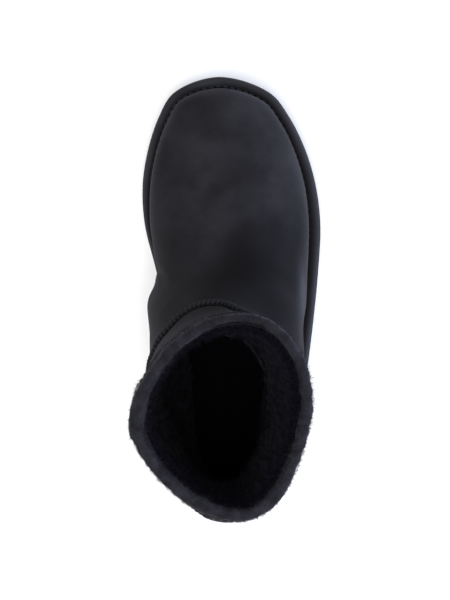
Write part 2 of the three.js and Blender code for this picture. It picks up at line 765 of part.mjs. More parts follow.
/** Vamp seam: from the welt on the inner side, over the instep, to the welt on the outer side. */
function vampSeam() {
  const outer = seamSide(true);
  const inner = seamSide(false).reverse();
  const start = { u: inner[inner.length - 1].u - 1, v: inner[inner.length - 1].v };
  const ends = seamTable[0];
  const front = bearings
    .map((u) => (u > 0.5 ? u - 1 : u))
    .filter((u) => u > start.u + 0.006 && u < outer[0].u - 0.006)
    .sort((a, b) => a - b)
    .map((u) => {
      const place = u / Math.abs(u < 0 ? start.u : outer[0].u);
      const share = mix(ends.inner, ends.outer, column(seamRiseTable, "rise", place));
      return { u: (u + 1) % 1, v: levelAt(u, share * shaftHeight) };
    });
  return ridgeAlong([...inner, ...front, ...outer], seamWidth, seamHeight);
}

/** Counter's top edge above the midsole, at u. */
function counterTop(u) {
  const share = 1 - Math.abs(u - 0.5) / counterReach;
  return counterHeight * column(counterTable, "height", share);
}

/** Heel counter: skin over the heel from the welt up to its curved top edge. */
function heelCounter() {
  const foot = weltHeight + skinGap;
  const edges = (u) => [levelAt(u, foot), levelAt(u, counterTop(u))];
  return skinPatch(span(0.5, counterReach), edges, 6, skinGap, skinGap + counterThickness);
}

/** Share of the way round that spans a width across the back at v. */
function backShare(width, v) {
  const sample = 0.01;
  const chord = upperPoint(0.5 + sample, v).distanceTo(upperPoint(0.5 - sample, v));
  return (width / chord) * sample;
}

/** Heel label: a small bare patch high on the counter. */
function heelLabel() {
  const top = counterHeight - labelDrop;
  const middle = levelAt(0.5, top - labelHeight / 2);
  const edges = (u) => [levelAt(u, top - labelHeight), levelAt(u, top)];
  const inner = 2 * skinGap + counterThickness;
  return skinPatch(span(0.5, backShare(labelWidth, middle)), edges, 3, inner, inner + labelThickness);
}

/** Back strip: over the back seam from the counter to the binding. */
function backStrip() {
  const middle = levelAt(0.5, mix(counterHeight, shaftHeight, 0.5));
  const edges = (u) => [levelAt(u, counterTop(u) + 2 * clearance), edgeLevel(u, bindingDrop + 2 * clearance)];
  return skinPatch(span(0.5, backShare(stripWidth, middle)), edges, 8, skinGap, skinGap + stripThickness);
}

/** The v at a distance below the collar's edge, measured down the upper at u. */
function edgeLevel(u, drop) {
  const top = upperPoint(u, 1);
  let low = 0.5;
  let high = 1;
  for (let i = 0; i < 22; i++) {
    const v = (low + high) / 2;
    if (upperPoint(u, v).distanceTo(top) > drop) low = v;
    else high = v;
  }
  return (low + high) / 2;
}

/** Side seam: ridge straight down the shaft from the binding to the vamp seam. */
function sideSeam(outer) {
  const steps = 6;
  const top = sidePlace(outer, sideSeamAlong * soleLength, 0.8 * shaftHeight);
  const edge = upperPoint(top.u, edgeLevel(top.u, bindingDrop + skinGap + sideSeamWidth / 2));
  const high = edge.z - soleTopAt(edge.y);
  const path = Array.from({ length: steps + 1 }, (_, i) =>
    sidePlace(outer, sideSeamAlong * soleLength, mix(high, sideSeamFoot * shaftHeight, i / steps)),
  );
  return ridgeAlong(path, sideSeamWidth, sideSeamHeight);
}

/** Collar binding: strip folded over the collar's edge, outside, top and inside. */
function collarBinding() {
  const t = bindingThickness;
  const sections = bearings.map((u) => {
    const down = (drop, distance) => offsetPoint(u, edgeLevel(u, drop), distance);
    const edgeNormal = upperNormal(u, 1);
    const rise = upperPoint(u, 1).sub(upperPoint(u, 0.97)).normalize();
    const over = (lift, distance) =>
      upperPoint(u, 1).addScaledVector(edgeNormal, distance).addScaledVector(rise, lift);
    return [
      down(bindingDrop, skinGap),
      down(bindingDrop, skinGap + t * 0.8),
      down(bindingDrop * 0.45, skinGap + t),
      over(-0.2, skinGap + t),
      over(clearance + t * 0.8, -wall * 0.1),
      over(clearance + t, -wall * 0.5),
      over(clearance + t * 0.8, -wall * 0.9),
      over(-0.2, -wall - seamGap - t),
      down(bindingTuck, -wall - seamGap - t),
      down(bindingTuck, -wall - seamGap),
      over(clearance, -wall - seamGap),
      over(clearance, skinGap),
    ];
  });
  return ring(sections);
}

const boot = new THREE.Group();

/** Adds one named piece to the boot. */
function add(name, geometry, look) {
  const mesh = new THREE.Mesh(geometry, new THREE.MeshStandardMaterial(look));
  mesh.name = name;
  boot.add(mesh);
}

add("outsole", outsole(), tread);
add("midsole", midsole(), foam);
add("welt", welt(), foam);
add("insole", insole(), wool);
add("upper", upper(), suede);
add("heel_counter", heelCounter(), suede);
add("heel_label", heelLabel(), bindingSuede);
add("back_strip", backStrip(), suede);
add("vamp_seam", vampSeam(), thread);
add("side_seam_outer", sideSeam(true), thread);
add("side_seam_inner", sideSeam(false), thread);
add("collar_binding", collarBinding(), bindingSuede);

// The frame's origin is the middle of the boot's footprint box, on the floor.
const box = new THREE.Box3().setFromObject(boot);
boot.position.set(-(box.min.x + box.max.x) / 2, -(box.min.y + box.max.y) / 2, -box.min.z);

export default boot;
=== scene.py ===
"""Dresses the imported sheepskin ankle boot: suede, wool pile, foam sole, stitching and a plain studio."""

import logging
import math
from collections.abc import Callable
from dataclasses import dataclass, field
from enum import Enum
from functools import cache, cached_property

import bpy
import numpy as np
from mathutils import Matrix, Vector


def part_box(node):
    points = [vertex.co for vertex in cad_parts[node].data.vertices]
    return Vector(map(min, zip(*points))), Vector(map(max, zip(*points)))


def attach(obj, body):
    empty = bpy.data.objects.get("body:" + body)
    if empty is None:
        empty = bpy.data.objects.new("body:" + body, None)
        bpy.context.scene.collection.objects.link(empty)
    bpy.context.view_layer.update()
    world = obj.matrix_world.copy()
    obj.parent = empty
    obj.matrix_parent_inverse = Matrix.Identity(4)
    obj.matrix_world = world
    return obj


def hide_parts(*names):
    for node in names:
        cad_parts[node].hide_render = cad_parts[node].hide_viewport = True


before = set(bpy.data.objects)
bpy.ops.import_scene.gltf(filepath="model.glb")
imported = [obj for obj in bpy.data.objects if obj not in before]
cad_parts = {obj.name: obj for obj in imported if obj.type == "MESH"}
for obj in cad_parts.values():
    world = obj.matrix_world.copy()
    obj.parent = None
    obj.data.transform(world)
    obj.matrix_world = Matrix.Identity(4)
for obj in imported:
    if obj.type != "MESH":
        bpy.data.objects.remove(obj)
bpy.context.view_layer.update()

log = logging.getLogger("boot")
Array = np.ndarray
Table = dict[str, tuple[float, ...]]
Colour = tuple[float, float, float, float]
Layers = tuple[tuple[float, float, int], ...]
TAU = 2 * math.pi
MM = 0.001
TINY = 1e-9

# Whole numbers that stir the seeded noise: one for each axis, one for the seed, one for the last stir.
AXIS_STIR = np.array([374761393, 668265263, 1442695041])
SEED_STIR = 974634777
LAST_STIR = 1274126177
LOW_BITS = 0xFFFFFFFF

# How often a search halves its step.
FINE_HALVINGS, HALVINGS, COARSE_HALVINGS = 21, 18, 16

# Sockets of the mix node when it mixes colours: other kinds share their names, so they go by number.
SHARE, FROM, TO, MIXED = 0, 6, 7, 2


class Slot(Enum):
    """Material slots of the boot."""

    TREAD = "tread"
    FOAM = "foam"
    RIM = "rim"
    WOOL = "wool"
    SUEDE = "suede"
    BINDING = "binding"
    THREAD = "thread"


class Side(Enum):
    """Sides of a right boot."""

    OUTER = 1
    INNER = -1


# Numbers and curves


def mix(a: Array, b: Array, t: Array) -> Array:
    """Value a share t of the way from a to b."""
    return a + (b - a) * t


def smooth(t: Array) -> Array:
    """Eased share: level at both ends, held to 0 and 1 outside them."""
    t = np.clip(t, 0, 1)
    return t * t * (3 - 2 * t)


@dataclass(frozen=True)
class Ramp:
    """A smooth rise from 0 at its start to 1 a run further on, or back where the run is below zero."""

    start: float
    run: float | Array

    def at(self, value: Array) -> Array:
        """How far the rise has come."""
        return smooth((value - self.start) / self.run)


def column(table: Table, name: str, at: Array) -> Array:
    """Smooth value of a table's column.

    Args:
        table: Named columns, one of them "at".
        name: Column to read.
        at: Places along "at".

    Returns:
        The column's values there.
    """
    x = np.array(table["at"], float)
    y = np.array(table[name], float)
    slope = np.empty_like(y)
    slope[1:-1] = (y[2:] - y[:-2]) / (x[2:] - x[:-2])
    slope[0] = (y[1] - y[0]) / (x[1] - x[0])
    slope[-1] = (y[-1] - y[-2]) / (x[-1] - x[-2])
    at = np.clip(at, x[0], x[-1])
    i = np.clip(np.searchsorted(x, at, side="right") - 1, 0, len(x) - 2)
    span = x[i + 1] - x[i]
    t = (at - x[i]) / span
    return (
        (2 * t**3 - 3 * t**2 + 1) * y[i]
        + (t**3 - 2 * t**2 + t) * span * slope[i]
        + (3 * t**2 - 2 * t**3) * y[i + 1]
        + (t**3 - t**2) * span * slope[i + 1]
    )


def eased_column(table: Table, name: str, at: Array) -> Array:
    """Value of a table's column, eased from row to row so that flat stretches stay flat.

    Args:
        table: Named columns, one of them "at".
        name: Column to read.
        at: Places along "at".

    Returns:
        The column's values there.
    """
    x = np.array(table["at"], float)
    y = np.array(table[name], float)
    i = np.clip(np.searchsorted(x, at, side="left") - 1, 0, len(x) - 2)
    return mix(y[i], y[i + 1], smooth((at - x[i]) / (x[i + 1] - x[i])))


def unit(vectors: Array) -> Array:
    """Vectors scaled to a length of 1."""
    return vectors / np.maximum(np.linalg.norm(vectors, axis=-1, keepdims=True), 1e-12)


def lump_noise(points: Array, size: float, seed: int) -> Array:
    """Smooth lumps of about one size, from -1 to 1, the same at every run.

    Args:
        points: Places in millimetres.
        size: Spacing of the lumps in millimetres.
        seed: Which pattern.

    Returns:
        One value for each place.
    """
    q = points / size + 97.0  # keeps every cell number above zero
    cell = np.floor(q).astype(np.int64)
    t = smooth(q - cell)
    total = np.zeros(points.shape[:-1])
    for corner in np.ndindex(2, 2, 2):
        key = ((cell + np.array(corner)) @ AXIS_STIR + seed * SEED_STIR) & LOW_BITS
        key = ((key ^ (key >> 13)) * LAST_STIR) & LOW_BITS
        value = ((key ^ (key >> 16)) & 0xFFFF) / 32767.5 - 1
        weight = np.prod(np.where(np.array(corner) == 1, t, 1 - t), axis=-1)
        total += weight * value
    return total


def lumps(points: Array, layers: Layers, folded: bool = False) -> Array:
    """Layers of smooth lumps, one over the other.

    Args:
        points: Places in millimetres.
        layers: Height, size and seed of each.
        folded: Whether the hollows of each are folded up, so that only creases lie low.

    Returns:
        One value for each place.
    """
    values = [(height, lump_noise(points, size, seed)) for height, size, seed in layers]
    return sum(height * (np.abs(value) if folded else value) for height, value in values)


def even_path(points: Array, spacing: float) -> tuple[Array, Array]:
    """Spreads a path's stations evenly.

    Args:
        points: Path in millimetres.
        spacing: Wanted distance from station to station.

    Returns:
        Where each new station lies, as a number of the old ones, and the path's length.
    """
    steps = np.linalg.norm(np.diff(points, axis=0), axis=1)
    run = np.concatenate([[0], np.cumsum(steps)])
    count = max(2, int(round(run[-1] / spacing)) + 1)
    return np.interp(np.linspace(0, run[-1], count), run, np.arange(len(points))), run[-1]


def along_path(values: Array, places: Array) -> Array:
    """Values of a path between its stations.

    Args:
        values: Points, directions or numbers of the path.
        places: Places given as numbers of its stations.

    Returns:
        One value for each place.
    """
    stations = np.arange(len(values))
    flat = values.reshape(len(values), -1)
    found = np.stack([np.interp(places, stations, flat[:, k]) for k in range(flat.shape[1])], -1)
    return found.reshape((len(places),) + values.shape[1:])


# Meshes


def lattice(rows: int, columns: int, looped: bool, ringed: bool) -> Array:
    """Four-sided faces of a grid of points.

    Args:
        rows: Number of rows.
        columns: Points in each row.
        looped: Whether the last row joins the first.
        ringed: Whether each row closes on itself.

    Returns:
        Corner numbers of each face.
    """
    r = np.arange(rows if looped else rows - 1)[:, None]
    k = np.arange(columns if ringed else columns - 1)[None, :]
    r2, k2 = (r + 1) % rows, (k + 1) % columns
    corners = [r * columns + k, r * columns + k2, r2 * columns + k2, r2 * columns + k]
    return np.stack([np.broadcast_to(c, (r.shape[0], k.shape[1])) for c in corners], -1).reshape(-1, 4)


def fan(loop: Array) -> Array:
    """Triangles that close a small loop, from its corner numbers."""
    first = np.full(len(loop) - 2, loop[0])
    return np.stack([first, loop[1:-1], loop[2:]], -1)


def strips(start: int, count: int) -> tuple[Array, Array]:
    """Faces straight across a loop of the shared bearings, from the outer to the inner side.

    Args:
        start: Number of the loop's first point, at the toe.
        count: Its points, an even number.

    Returns:
        The four-sided faces and the two end triangles.
    """
    k = np.arange(1, count // 2 - 1)
    quads = np.stack([start + k, start + k + 1, start + count - k - 1, start + count - k], -1)
    half = start + count // 2
    ends = np.array([[start, start + 1, start + count - 1], [half - 1, half, half + 1]])
    return quads, ends


@dataclass
class MeshParts:
    """Points and faces of one piece as they are put together, in the boot's own millimetres."""

    points: list[Array] = field(default_factory=list)
    faces: list[Array] = field(default_factory=list)
    shades: list[Array] = field(default_factory=list)
    count: int = 0

    def add(self, points: Array, *faces: Array, shade: Array | float = 0.0) -> int:
        """Adds points with their faces.

        Args:
            points: New points, in any grid shape.
            faces: Faces, numbered from the first new point.
            shade: How dark each point is painted for the materials: painted shade, and darker overlay
                edges; below zero, a painted highlight.

        Returns:
            Number of the first new point.
        """
        flat = points.reshape(-1, 3)
        start = self.count
        self.points.append(flat)
        self.shades.append(np.broadcast_to(np.asarray(shade, float), points.shape[:-1]).reshape(-1))
        self.faces.extend(part + start for part in faces)
        self.count += len(flat)
        return start

    def add_many(self, templates: Array, *faces: Array, shade: Array | float = 0.0) -> None:
        """Adds copies of one closed form.

        Args:
            templates: Points of every copy, copy by copy.
            faces: Faces of one copy.
            shade: The same for all, or a column with one value for each copy.
        """
        copies, size = templates.shape[0], templates.shape[1]
        shift = (np.arange(copies) * size)[:, None, None]
        all_faces = [(part[None] + shift).reshape(-1, part.shape[1]) for part in faces]
        self.add(templates, *all_faces, shade=shade)

    def turn_out(self) -> None:
        """Turns all faces over if they enclose a volume below zero."""
        points = np.concatenate(self.points)
        volume = 0.0
        for part in self.faces:
            for k in range(1, part.shape[1] - 1):
                a, b, c = points[part[:, 0]], points[part[:, k]], points[part[:, k + 1]]
                volume += float((a * np.cross(b, c)).sum())
        if volume < 0:
            self.faces = [part[:, ::-1] for part in self.faces]


# Finishes


@cache
def linear(code: str) -> Colour:
    """Linear colour of an sRGB hex code, opaque."""
    parts = [int(code[i : i + 2], 16) / 255 for i in (1, 3, 5)]
    return tuple(p / 12.92 if p <= 0.04045 else ((p + 0.055) / 1.055) ** 2.4 for p in parts) + (1.0,)


def pattern(here: tuple, size_mm: float) -> dict:
    """Sockets of a pattern whose lumps are of one size in millimetres."""
    return {"Vector": here, "Scale": 1 / (size_mm * MM)}


def add_node(tree: bpy.types.NodeTree, kind: str, sockets: dict, **settings: str) -> bpy.types.Node:
    """Adds one node with its settings and links.

    Args:
        tree: Material's node tree.
        kind: Blender's name of the node's type, after "ShaderNode".
        sockets: Values and links by the socket's name or number. A node stands for a link from its first
            output, a pair of a node and an output for a link from that one, and a text for a hex colour.
        settings: The node's own properties.

    Returns:
        The new node.
    """
    node = tree.nodes.new("ShaderNode" + kind)
    for name, value in settings.items():
        setattr(node, name, value)
    for name, value in sockets.items():
        source = value[0] if isinstance(value, tuple) else value
        if isinstance(source, bpy.types.Node):
            output = value[1] if isinstance(value, tuple) else 0
            tree.links.new(source.outputs[output], node.inputs[name])
        else:
            node.inputs[name].default_value = linear(value) if isinstance(value, str) else value
    return node


def new_material(name: str) -> tuple[bpy.types.Material, bpy.types.NodeTree, tuple]:
    """Makes an empty node material.

    Args:
        name: Name of the material.

    Returns:
        The material, its tree and the link to the place on the object.
    """
    material = bpy.data.materials.new(name)
    material.use_nodes = True
    material.node_tree.nodes.clear()
    return material, material.node_tree, (add_node(material.node_tree, "TexCoord", {}), "Object")


@dataclass(frozen=True)
class NappedSuede:
    """Sheepskin suede, split side out, buffed to a short nap and drum-dyed black.

    The nap drinks the light, so the colour is deep and flat, with soft clouds where a hand has turned it
    and a pale bloom at grazing angles. The shade attribute darkens it towards the shade colour, as painted
    shade and at the overlays' edges, and below zero lightens it towards the highlight colour, as a painted
    highlight.
    """

    name: str = "sheepskin_suede"
    lying: str = "#18181b"
    raised: str = "#242428"
    # painted shade: the colour that the shade attribute darkens the suede towards, also used at the
    # overlays' darker edges
    shade_colour: str = "#0b0b0d"
    painted_highlight: str = "#32353b"  # painted highlight: pale colour of a streak that stands in for light glancing off the outer side wall
    bloom: float = 0.07
    cloud_mm: float = 26.0
    fibre_mm: float = 0.7  # real nap is about 0.3 mm, drawn coarser so that it shows
    tuft_mm: float = 2.8
    fibre_depth_mm: float = 0.22

    def build(self) -> bpy.types.Material:
        """Makes the material.

        Returns:
            The material.
        """
        material, tree, here = new_material(self.name)
        clouds = add_node(
            tree, "TexNoise", {**pattern(here, self.cloud_mm), "Detail": 3.0, "Roughness": 0.55}
        )
        fibres = add_node(
            tree, "TexNoise", {**pattern(here, self.fibre_mm), "Detail": 3.0, "Roughness": 0.7}
        )
        tufts = add_node(tree, "TexNoise", {**pattern(here, self.tuft_mm), "Detail": 2.0, "Roughness": 0.6})
        turned = add_node(tree, "MapRange", {"Value": clouds, "From Min": 0.36, "From Max": 0.66})
        nap = add_node(tree, "Mix", {SHARE: turned, FROM: self.lying, TO: self.raised}, data_type="RGBA")
        lift = add_node(
            tree, "MapRange", {"Value": fibres, "From Min": 0.48, "From Max": 0.8, "To Max": 0.55}
        )
        grained = add_node(
            tree, "Mix", {SHARE: lift, FROM: (nap, MIXED), TO: self.raised}, data_type="RGBA"
        )
        # The shade attribute: painted shade and darker overlay edges above zero, a painted highlight below
        # zero.
        painted_light = (add_node(tree, "Attribute", {}, attribute_name="shade"), "Fac")
        shaded = add_node(
            tree, "Mix", {SHARE: painted_light, FROM: (grained, MIXED), TO: self.shade_colour}, data_type="RGBA"
        )
        # Painted highlight where the shade attribute is below zero.
        highlight_share = add_node(tree, "Math", {0: painted_light, 1: -1.0}, operation="MULTIPLY")
        painted_highlight = add_node(
            tree, "Mix", {SHARE: highlight_share, FROM: (shaded, MIXED), TO: self.painted_highlight}, data_type="RGBA"
        )
        height = add_node(tree, "Math", {0: tufts, 1: 0.8, 2: fibres}, operation="MULTIPLY_ADD")
        bump = add_node(
            tree, "Bump", {"Strength": 0.7, "Distance": self.fibre_depth_mm * MM, "Height": height}
        )
        shader = add_node(
            tree,
            "BsdfPrincipled",
            {
                "Base Color": (painted_highlight, MIXED),
                "Roughness": 0.95,
                "IOR": 1.45,
                "Specular IOR Level": 0.06,
                "Sheen Weight": self.bloom,
                "Sheen Roughness": 0.45,
                "Sheen Tint": "#c9cbd6",
                "Normal": bump,
            },
        )
        add_node(tree, "OutputMaterial", {"Surface": shader})
        return material


@dataclass(frozen=True)
class WoolPile:
    """Dense clipped sheep's wool, dyed with the hide.

    Crimped fibres stand in small locks, painted dark down between them as shade and lighter on their tips,
    with a soft sheen there.
    """

    name: str = "clipped_wool"
    root: str = "#030305"
    tip: str = "#15111e"
    lock_mm: float = 2.6
    crimp_mm: float = 0.8
    lock_depth_mm: float = 0.6

    def build(self) -> bpy.types.Material:
        """Makes the material.

        Returns:
            The material.
        """
        material, tree, here = new_material(self.name)
        locks = add_node(
            tree,
            "TexNoise",
            {**pattern(here, self.lock_mm), "Detail": 2.0, "Roughness": 0.6, "Distortion": 1.2},
        )
        crimp = add_node(
            tree,
            "TexNoise",
            {**pattern(here, self.crimp_mm), "Detail": 2.0, "Roughness": 0.7, "Distortion": 2.0},
        )
        height = add_node(tree, "Math", {0: crimp, 1: 0.5, 2: locks}, operation="MULTIPLY_ADD")
        # Painted shade: the colour runs from the root colour, low between the locks, to the tip colour on
        # their tops.
        tone = add_node(tree, "MapRange", {"Value": height, "From Min": 0.55, "From Max": 0.95})
        colour = add_node(tree, "Mix", {SHARE: tone, FROM: self.root, TO: self.tip}, data_type="RGBA")
        # The shade attribute darkens the pile towards the root colour, as painted shade deep in the boot.
        painted_light = (add_node(tree, "Attribute", {}, attribute_name="shade"), "Fac")
        shaded = add_node(
            tree, "Mix", {SHARE: painted_light, FROM: (colour, MIXED), TO: self.root}, data_type="RGBA"
        )
        bump = add_node(
            tree, "Bump", {"Strength": 0.9, "Distance": self.lock_depth_mm * MM, "Height": height}
        )
        shader = add_node(
            tree,
            "BsdfPrincipled",
            {
                "Base Color": (shaded, MIXED),
                "Roughness": 1.0,
                "Specular IOR Level": 0.015,
                "Sheen Weight": 0.032,
                "Sheen Roughness": 0.6,
                "Sheen Tint": "#b9b9c8",
                "Normal": bump,
            },
        )
        add_node(tree, "OutputMaterial", {"Surface": shader})
        return material


@dataclass(frozen=True)
class MouldedFoam:
    """EVA foam or blown rubber, moulded with a fine eroded texture.

    An even dull black, a little lighter than the suede where light glances off the fine texture.
    """

    name: str
    colour: str
    scuffed: str
    roughness: float
    grain_mm: float
    grain_depth_mm: float
    patch_mm: float = 38.0

    def build(self) -> bpy.types.Material:
        """Makes the material.

        Returns:
            The material.
        """
        material, tree, here = new_material(self.name)
        cells = add_node(tree, "TexNoise", {**pattern(here, self.grain_mm), "Detail": 2.0})
        patches = add_node(
            tree, "TexNoise", {**pattern(here, self.patch_mm), "Detail": 4.0, "Roughness": 0.65}
        )
        scuffs = add_node(tree, "MapRange", {"Value": patches, "From Min": 0.42, "From Max": 0.72})
        colour = add_node(
            tree, "Mix", {SHARE: scuffs, FROM: self.colour, TO: self.scuffed}, data_type="RGBA"
        )
        low, high = self.roughness - 0.06, self.roughness + 0.08
        dulled = add_node(
            tree,
            "MapRange",
            {"Value": cells, "From Min": 0.2, "From Max": 0.8, "To Min": low, "To Max": high},
        )
        bump = add_node(
            tree, "Bump", {"Strength": 0.5, "Distance": self.grain_depth_mm * MM, "Height": cells}
        )
        shader = add_node(
            tree,
            "BsdfPrincipled",
            {
                "Base Color": (colour, MIXED),
                "Roughness": dulled,
                "IOR": 1.5,
                "Specular IOR Level": 0.14,
                "Normal": bump,
            },
        )
        add_node(tree, "OutputMaterial", {"Surface": shader})
        return material


@dataclass(frozen=True)
class BondedThread:
    """Bonded polyester thread of three plies: a dull grey that catches light along each stitch."""

    name: str = "bonded_thread"
    dark: str = "#1c1c20"
    light: str = "#3c3c42"
    ply_mm: float = 0.5
    ply_depth_mm: float = 0.12

    def build(self) -> bpy.types.Material:
        """Makes the material.

        Returns:
            The material.
        """
        material, tree, here = new_material(self.name)
        plies = add_node(tree, "TexNoise", {**pattern(here, self.ply_mm), "Detail": 1.0, "Distortion": 1.0})
        tone = add_node(tree, "MapRange", {"Value": plies, "From Min": 0.35, "From Max": 0.65})
        colour = add_node(tree, "Mix", {SHARE: tone, FROM: self.dark, TO: self.light}, data_type="RGBA")
        bump = add_node(
            tree, "Bump", {"Strength": 0.6, "Distance": self.ply_depth_mm * MM, "Height": plies}
        )
        shader = add_node(
            tree,
            "BsdfPrincipled",
            {"Base Color": (colour, MIXED), "Roughness": 0.7, "Specular IOR Level": 0.2, "Normal": bump},
        )
        add_node(tree, "OutputMaterial", {"Surface": shader})
        return material


@dataclass(frozen=True)
class PaperSweep:
    """Matt white background paper: an even white with hardly any tooth."""

    name: str = "studio_paper"
    colour: str = "#f4f4f4"
    tooth_mm: float = 3.0  # real tooth is far finer, drawn coarser so that it shows
    tooth_depth_mm: float = 0.05

    def build(self) -> bpy.types.Material:
        """Makes the material.

        Returns:
            The material.
        """
        material, tree, here = new_material(self.name)
        tooth = add_node(tree, "TexNoise", {**pattern(here, self.tooth_mm), "Detail": 2.0})
        bump = add_node(
            tree, "Bump", {"Strength": 0.05, "Distance": self.tooth_depth_mm * MM, "Height": tooth}
        )
        shader = add_node(
            tree, "BsdfPrincipled", {"Base Color": self.colour, "Roughness": 0.95, "Normal": bump}
        )
        add_node(tree, "OutputMaterial", {"Surface": shader})
        return material


Finish = NappedSuede | WoolPile | MouldedFoam | BondedThread | PaperSweep


@cache
def finish(look: Finish) -> bpy.types.Material:
    """The material of a finish, made once."""
    return look.build()


SUEDE = NappedSuede()
# The binding is cut from the fluffier hide offcuts: longer nap, a shade lighter.
BINDING_SUEDE = NappedSuede(
    name="binding_suede",
    lying="#17171b",
    raised="#27262d",
    shade_colour="#0d0d0f",
    bloom=0.1,
    cloud_mm=7.0,
    fibre_mm=0.9,
    tuft_mm=3.6,
    fibre_depth_mm=0.4,
)
WOOL = WoolPile()
# Injection-moulded EVA, washed of its skin: dull, with a slightly lighter bloom.
SOLE_FOAM = MouldedFoam("moulded_eva", "#161618", "#1c1c1f", 0.8, 0.9, 0.06)
# The rim strip is wrapped in thin skived suede, pulled tight: a short nap of even colour, a shade paler.
RIM_SUEDE = NappedSuede(
    name="rim_suede",
    lying="#222226",
    raised="#2b2b2f",
    shade_colour="#0b0b0d",
    bloom=0.09,
    cloud_mm=30.0,
    fibre_mm=0.7,
    fibre_depth_mm=0.1,
)
# Blown rubber tread plate: a shade darker and a little glossier.
TREAD_RUBBER = MouldedFoam("blown_rubber", "#121213", "#19191b", 0.7, 1.4, 0.08)
THREAD = BondedThread()
PAPER = PaperSweep()


# The boot's form, with the same sizes as its solids: lengths are shares of the named sizes that they follow

OUTLINE: Table = {
    "at": (0.035, 0.1, 0.2, 0.32, 0.44, 0.56, 0.67, 0.76, 0.84, 0.91, 0.965),
    "inner": (0.171, 0.273, 0.315, 0.315, 0.329, 0.384, 0.451, 0.463, 0.431, 0.373, 0.285),
    "outer": (0.236, 0.333, 0.394, 0.451, 0.492, 0.523, 0.536, 0.509, 0.449, 0.363, 0.249),
    "inner_rim": (0.55, 0.55, 0.5, 0.45, 0.45, 0.6, 0.8, 0.95, 1.0, 1.0, 0.97),
    "outer_rim": (0.6, 0.7, 0.85, 1.0, 1.1, 1.2, 1.25, 1.2, 1.15, 1.08, 1.02),
}
HEEL_END = (0.032, 0.55)  # across, rim
TOE_END = (-0.035, 0.93)
LIFT: Table = {
    "at": (0, 0.06, 0.29, 0.38, 0.47, 0.74, 0.87, 1),
    "heel": (1, 0, 0, 0, 0, 0, 0, 0),
    "arch": (0, 0, 0, 1, 0, 0, 0, 0),
    "toe": (0, 0, 0, 0, 0, 0, 0.3, 1),
}
STACK: Table = {"at": (0.2, 0.62, 0.74, 1), "heel": (1, 0, 0, 0), "ball": (0, 1, 1, 0), "toe": (0, 0, 0, 1)}
RIDGE: Table = {
    "at": (0.04, 0.12, 0.25, 0.36, 0.42, 0.48, 0.54, 0.62, 0.7, 0.8, 0.9, 1),
    "toe_box": (0, 0, 0, 0, 0, 0, 0, 0, 0.35, 0.9, 1, 0.98),
    "instep": (0.1, 0.3, 0.85, 1.06, 1.06, 1.0, 0.84, 0.655, 0.4, 0.1, 0, 0),
    "bulge": (0, 0, 0, 0.03, 0.08, 0.1, 0.036, 0.012, 0, 0, 0, 0),
}
SHAFT: Table = {
    "at": (0, 0.1, 0.22, 0.36, 0.5, 0.7, 0.85, 1),
    "lean": (0.06, -0.02, 0.06, 0.25, 0.4, 0.63, 0.82, 1),
    "length": (1.17, 1.2, 1.23, 1.23, 1.21, 1.115, 1.05, 1),
    "width": (0.71, 0.78, 0.837, 0.9, 0.9, 0.89, 0.918, 1),
    "widest": (0.55, 0.57, 0.59, 0.6, 0.58, 0.54, 0.52, 0.5),
    "skew": (0, 0, 0, 0, -0.03, -0.06, -0.01, 0.07),
    "middle": (0.037, 0.033, 0.016, -0.005, -0.016, -0.027, -0.03, -0.017),
    "front_swing": (0, 0, 0, 0, 0, 0.005, 0.04, 0.1),
    "back_swing": (0, 0, 0, 0.01, 0.025, 0.05, 0.075, 0.105),
    "front": (2.2, 2.3, 2.4, 2.4, 2.3, 2.05, 1.9, 1.85),
    "back": (2.5, 2.45, 2.3, 2.1, 1.85, 1.62, 1.56, 1.52),
}
PLANES: Table = {
    "at": (0, 0.1, 0.2, 0.3, 0.4, 0.51, 0.6, 0.7, 0.79, 0.87, 0.94, 1),
    "front_along": (0.96, 0.96, 0.94, 0.88, 0.77, 0.66, 0.59, 0.53, 0.5, 0.49, 0.48, 0.475),
    "front_up": (0, 0.09, 0.19, 0.27, 0.32, 0.42, 0.52, 0.645, 0.76, 0.87, 0.96, 1.03),
    "back_up": (0, 0.085, 0.165, 0.245, 0.34, 0.45, 0.54, 0.635, 0.73, 0.82, 0.9, 0.965),
}

SEAM: Table = {
    "at": (0, 0.2, 0.4, 0.6, 0.8, 1),
    "along": (0.438, 0.39, 0.341, 0.306, 0.288, 0.28),
    "inner": (0.7, 0.65, 0.54, 0.385, 0.21, 0.07),
    "outer": (0.8, 0.735, 0.6, 0.42, 0.22, 0.07),
}
SEAM_RISE: Table = {"at": (-1, -0.4, 0, 0.35, 1), "rise": (0, 0.12, 0.35, 0.85, 1)}
COUNTER: Table = {"at": (0, 0.2, 0.4, 0.6, 0.8, 1), "height": (0.24, 0.47, 0.7, 0.87, 0.97, 1)}
SEAM_SECTION: Table = {
    "across": (-1, -0.98, -0.8, -0.5, -0.18, 0, 0.18, 0.5, 0.8, 0.98, 1),
    "height": (-0.2, 0.25, 0.62, 0.9, 0.96, 0.86, 0.96, 0.9, 0.62, 0.25, -0.2),
}
NEAR_COLLAR = 0.97  # share of the way up from which the collar's own rise is read
EDGE_ROWS = (0.004, 0.012, 0.022, 0.978, 0.988, 0.996)  # more rows where an overlay's edge rounds off
RIM: Table = {
    "across": (0, 0, 0.01, 0.04, 0.1, 0.18, 0.28, 0.4, 0.52, 0.62, 0.7, 0.76, 0.81, 0.86, 0.92, 1, 1),
    "height": (0, 0.42, 0.58, 0.72, 0.84, 0.93, 0.985, 1, 0.96, 0.88, 0.77, 0.62, 0.46, 0.36, 0.32, 0.3, 0),
}


